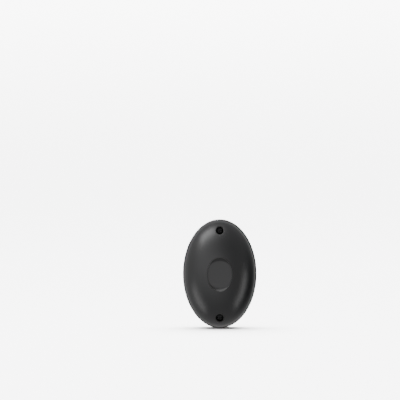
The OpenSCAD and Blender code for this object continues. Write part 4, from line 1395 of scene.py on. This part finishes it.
def make_axials():
    """Resistors with the waist and colour bands of such parts, and a diode with its pale band."""
    places = axial_places("resistors")
    half, ends, waist, paint_t = 3.0, 1.1, 0.92, 0.015
    rows = [(0, -half), (0.45, -half), (0.85, -half + 0.12)]
    rows += [(ends, -half + 0.5), (ends, -half + 1.1), (waist, -half + 1.6)]
    rows += [(r, -d) for r, d in rows[::-1]]
    body = laid(smooth(turned("resistor", rows, 0, 0, 0.25, 32), 50))
    made = repeated("resistor_bodies", body, places, RESISTOR)
    finished(smooth(made, 50), RESISTOR, "resistors")
    lead_pair("resistor_leads", places, half)
    for name, at_x, radius, paint in (
        ("first_bands", -2.2, ends, BROWN), ("second_bands", -0.9, waist, RESIN),
        ("third_bands", 0.0, waist, BAND_RED), ("last_bands", 2.2, ends, GOLD),
    ):
        band("resistor_" + name, at_x, 0.5, radius + paint_t, places, paint)
    places = axial_places("protection_diode")
    rows = [(0, -2.6), (0.7, -2.6), (1.1, -2.4), (1.1, 2.4), (0.7, 2.6), (0, 2.6)]
    body = laid(smooth(turned("diode", rows, 0, 0, 0.12, 32), 50))
    finished(repeated("diode_body", body, places, RESIN), RESIN, "protection_diode")
    lead_pair("diode_leads", places, 2.6)
    band("diode_band", 1.7, 0.6, 1.115, places, TIN)


def bent_leg(width, body_half, reach, rise):
    """A flat leg that leaves a case, bends down and turns out onto its pad."""
    thick = 0.2
    path = [(body_half - 0.2, 0, rise), (body_half + reach * 0.45, 0, rise)]
    path += [(body_half + reach * 0.62, 0, thick / 2), (body_half + reach, 0, thick / 2)]
    points = [Vector(point) for point in eased(path, 0.22, 3)]
    upper, lower = [], []
    for i, here in enumerate(points):
        along = (points[min(i + 1, len(points) - 1)] - points[max(i - 1, 0)]).normalized()
        normal = Vector((-along.z, 0, along.x)) * thick / 2
        upper.append(here + normal)
        lower.append(here - normal)
    outline = upper + lower[::-1]
    rings = [[(p.x, offset, p.z) for p in outline] for offset in (-width / 2, width / 2)]
    return smooth(lofted("bent_leg", rings))


def make_packages():
    """The rectifier and the chip: bevelled cases on bent legs, with a dimple by the first leg."""
    for node, case_w, count, pitch, width, dot in (
        ("bridge_rectifier", 6.4, 2, 2 * WIRE_PITCH, 1.0, 0.45),
        ("control_chip", 3.9, 3, 1.27, 0.4, 0.28),
    ):
        box = box_of(node)
        body = SimpleNamespace(**vars(box))
        body.w = case_w
        low, top = box.back + 0.2, box.front
        middle = (low + top) / 2
        levels = [(0.16, low), (0.02, middle - 0.08), (0.0, middle), (0.02, middle + 0.08)]
        levels += [(0.14, top - 0.1), (0.24, top)]
        case = cased(node + "_case", body, 0.18, levels, 2)
        dimple = [(0, -0.12), (dot * 0.8, -0.12), (dot, 0.1), (0, 0.1)]
        x, up = box.x - case_w / 2 + 0.35 + 1.6 * dot, box.up + box.h / 2 - 0.35 - 1.6 * dot
        tool = turned("dot", [(r, top + depth) for r, depth in dimple], x, up, 0.03, 24)
        combined(case, "DIFFERENCE", smooth(tool))
        finished(smooth(case), RESIN, node)
        places = []
        for i in range(count):
            up = box.up + (i - (count - 1) / 2) * pitch
            places += [(box.x, up, box.back, 0), (box.x, up, box.back, 180)]
        leg = bent_leg(width, case_w / 2, (box.w - case_w) / 2, (top - box.back) / 2)
        finished(smooth(repeated(node + "_legs", leg, places, TIN)), TIN)


def make_regulator():
    """A round-backed case with a flat face, on three wire legs."""
    box = box_of("voltage_regulator")
    radius, foot = box.w / 2, box.back + 2.2
    flat = box.h - radius
    lean = math.degrees(math.asin(flat / radius))
    centre = box.up + box.h / 2 - flat
    levels = [(0.12, foot), (0.0, foot + 0.15), (0.0, box.front - 0.25)]
    levels += [(0.07, box.front - 0.07), (0.25, box.front)]
    rings = []
    for inset, depth in levels:
        outline = arc(radius - inset, 180 - lean, 360 + lean, 40, box.x, centre)
        rings.append(level(outline, depth))
    finished(smooth(lofted("regulator_case", rings)), RESIN, "voltage_regulator")
    wires = []
    for i in (-1, 0, 1):
        x = box.x + i * LEG_SPREAD
        wires.append(tube("leg", [(x, centre, box.back), (x, centre, foot + 0.2)], 0.24))
    finished(smooth(gathered("regulator_legs", *wires), 60), TIN)


# Floor, light and camera

# Panels: the directions of their ends (x, up, front), their widths and their radiances
PANEL_AWAY = 800
PANELS = (
    ("key_panel", (-0.26, 0.94, 0.16), (-0.80, 0.58, 0.06), 380, 6.4),
    ("low_left_panel", (-0.97, -0.24, 0.02), (-0.60, -0.77, 0.21), 290, 2.8),
    ("right_panel", (1.0, 0.05, 0.14), (0.62, -0.72, 0.31), 180, 4.2),
)

# Patches of the studio: their directions (x, up, front), how tight they are, and how strong
BASE_LIGHT = 0.62
LIGHT_PATCHES = (
    ((-0.1, 0, 1), 12, 1.25),
    ((-0.75, 0.25, 0.6), 6, 0.95),
    ((-0.01, 0.98, 0.2), 90, 7.5),
    ((-0.26, 0.85, 0.46), 50, 1.1),
    ((0, -1, -0.4), 6, 0.25),
    ((0.42, -0.2, -0.88), 9, 0.3),
)
DARK_PATCHES = (
    ((0.9, -0.1, -0.45), 9, 0.95),
    ((0.9, -0.45, -0.05), 14, 0.5),
    ((0.3, 0.5, 0.8), 6, 0.22),
)

# Camera sizes, in millimetres, in degrees, and in pixels of the photograph
SENSOR = 36
HALF_VIEW = 7.2
HALF_PHOTO = 200
PART_AT = (219.7, 273.5)
CAMERA_AWAY = 1268
CAMERA_LIFT = 2.0


def make_stage():
    """A pale floor that rises into a bowl all round, so that every view has a plain ground.

    The bowl's wall glows a little. Reflections and bounced light come from the studio's own light
    and not from the bowl, as in a picture with an overexposed backdrop.
    """
    flat, bend, floor, steps, count = 1500, 1500, -HALF_H, 16, 96
    rows = [(flat, 0)]
    for step in range(1, steps + 1):
        turn = math.radians(80) * step / steps
        rows.append((flat + bend * math.sin(turn), bend * (1 - math.cos(turn))))
    mesh = bmesh.new()
    turns = [math.tau * i / count for i in range(count)]
    rings = []
    for radius, lift in rows:
        places = [(radius * math.cos(turn), radius * math.sin(turn), floor + lift) for turn in turns]
        rings.append([mesh.verts.new(Vector(place) * MM) for place in places])
    centre = mesh.verts.new(Vector((0, 0, floor)) * MM)
    for i in range(count):
        mesh.faces.new((centre, rings[0][i], rings[0][(i + 1) % count]))
        for low, high in zip(rings, rings[1:]):
            mesh.faces.new((low[i], high[i], high[(i + 1) % count], low[(i + 1) % count]))
    obj = kept(mesh, solid("studio_floor", bpy.data.meshes.new("studio_floor")))
    obj.data.shade_smooth()
    paint = finish("floor_paint", None, (0.82, 0.82, 0.825), 0.7, 4.0, 0.0, 0.01, 0.05).material
    graph = Graph(paint.node_tree)
    _, _, height = graph.split(graph.add("ShaderNodeTexCoord").outputs["Object"])
    limits = {"From Min": floor * MM, "From Max": 0.9, "To Min": 0.0, "To Max": 7.0}
    options = {"interpolation_type": "SMOOTHSTEP"}
    glow = graph.add("ShaderNodeMapRange", {"Value": height, **limits}, **options)
    shader = paint.node_tree.nodes["Principled BSDF"]
    graph.feed(shader.inputs["Emission Strength"], glow.outputs[0])
    shader.inputs["Emission Color"].default_value = (1, 1, 1, 1)
    obj.data.materials.append(paint)
    obj.visible_glossy = obj.visible_diffuse = obj.visible_transmission = False
    return obj


def soft_panel(name, start, end, width, radiance):
    """A long soft light that faces the part, from one direction to another."""
    start, end = (Vector((d[0], -d[2], d[1])).normalized() for d in (start, end))
    out, along = (start + end).normalized(), (end - start).normalized()
    data = bpy.data.lights.new(name, "AREA")
    data.shape, data.size = "RECTANGLE", width * MM
    data.size_y = (end - start).length * PANEL_AWAY * MM
    data.energy = radiance * math.pi * data.size * data.size_y
    light = solid(name, data)
    light.location = at(0, 0, 20) + out * PANEL_AWAY * MM
    light.rotation_mode = "QUATERNION"
    light.rotation_quaternion = Matrix((along.cross(out), along, out)).transposed().to_quaternion()


def make_lights(floor):
    """Soft panels for the highlights, a studio that is light at the front left and dark behind on
    the right, and a large sky light that falls on the floor alone."""
    for panel in PANELS:
        soft_panel(*panel)
    world = bpy.data.worlds.new("studio")
    bpy.context.scene.world = world
    world.use_nodes = True
    graph = Graph(world.node_tree)
    shade = world.node_tree.nodes["Background"]
    x, y, z = graph.split(graph.add("ShaderNodeTexCoord").outputs["Generated"])

    def lobe(direction, tightness, amount):
        """A soft patch of light or dark round a direction."""
        side, up, front = Vector(direction).normalized()
        along = x * side + z * up - y * front
        return graph.math("EXPONENT", (along - 1.0) * float(tightness)) * float(amount)

    light = sum((lobe(*patch) for patch in LIGHT_PATCHES), BASE_LIGHT)
    dark = sum((lobe(*patch) for patch in DARK_PATCHES), 0.0)
    light = light * (1.0 - graph.math("MINIMUM", dark, 0.98))
    graph.feed(shade.inputs["Color"], graph.join(light, light, light))
    shade.inputs["Strength"].default_value = 1.0
    sky = bpy.data.lights.new("floor_sky", "SUN")
    sky.energy, sky.angle = 26, math.radians(75)
    lamp = solid("floor_sky", sky)
    lamp.rotation_euler = (math.radians(-12), 0, 0)
    only_floor = bpy.data.collections.new("lit_by_floor_sky")
    only_floor.objects.link(floor)
    lamp.light_linking.receiver_collection = only_floor


def make_camera():
    """Straight in front, and turned so that the part lands where the photograph has it."""
    data = bpy.data.cameras.new("camera")
    data.sensor_width = SENSOR
    data.lens = SENSOR / 2 / math.tan(math.radians(HALF_VIEW))
    data.clip_start, data.clip_end = 0.05, 20
    camera = solid("camera", data)
    pixels = HALF_PHOTO / math.tan(math.radians(HALF_VIEW))
    middle, lift = at(0, 0, 14), math.radians(CAMERA_LIFT)
    camera.location = middle + Vector((0, -math.cos(lift), math.sin(lift))) * (CAMERA_AWAY * MM)
    camera.rotation_mode = "QUATERNION"
    look = (middle - camera.location).normalized()
    left, rise = ((place - HALF_PHOTO) / pixels for place in PART_AT)
    aim = look + Vector((-1, 0, 0)) * left + Vector((0, 0, 1)) * rise
    camera.rotation_quaternion = aim.to_track_quat("-Z", "Y")
    bpy.context.scene.camera = camera


# The part

make_camera()
make_lights(make_stage())
make_cover()
make_base()
make_seals()
make_grommet()
make_screws()
make_board()
make_lens_holder()
make_lens()
make_bulbs()
make_relay()
make_can("smoothing_capacitor")
make_can("small_capacitor")
make_terminal_block()
make_header()
make_axials()
make_packages()
make_regulator()
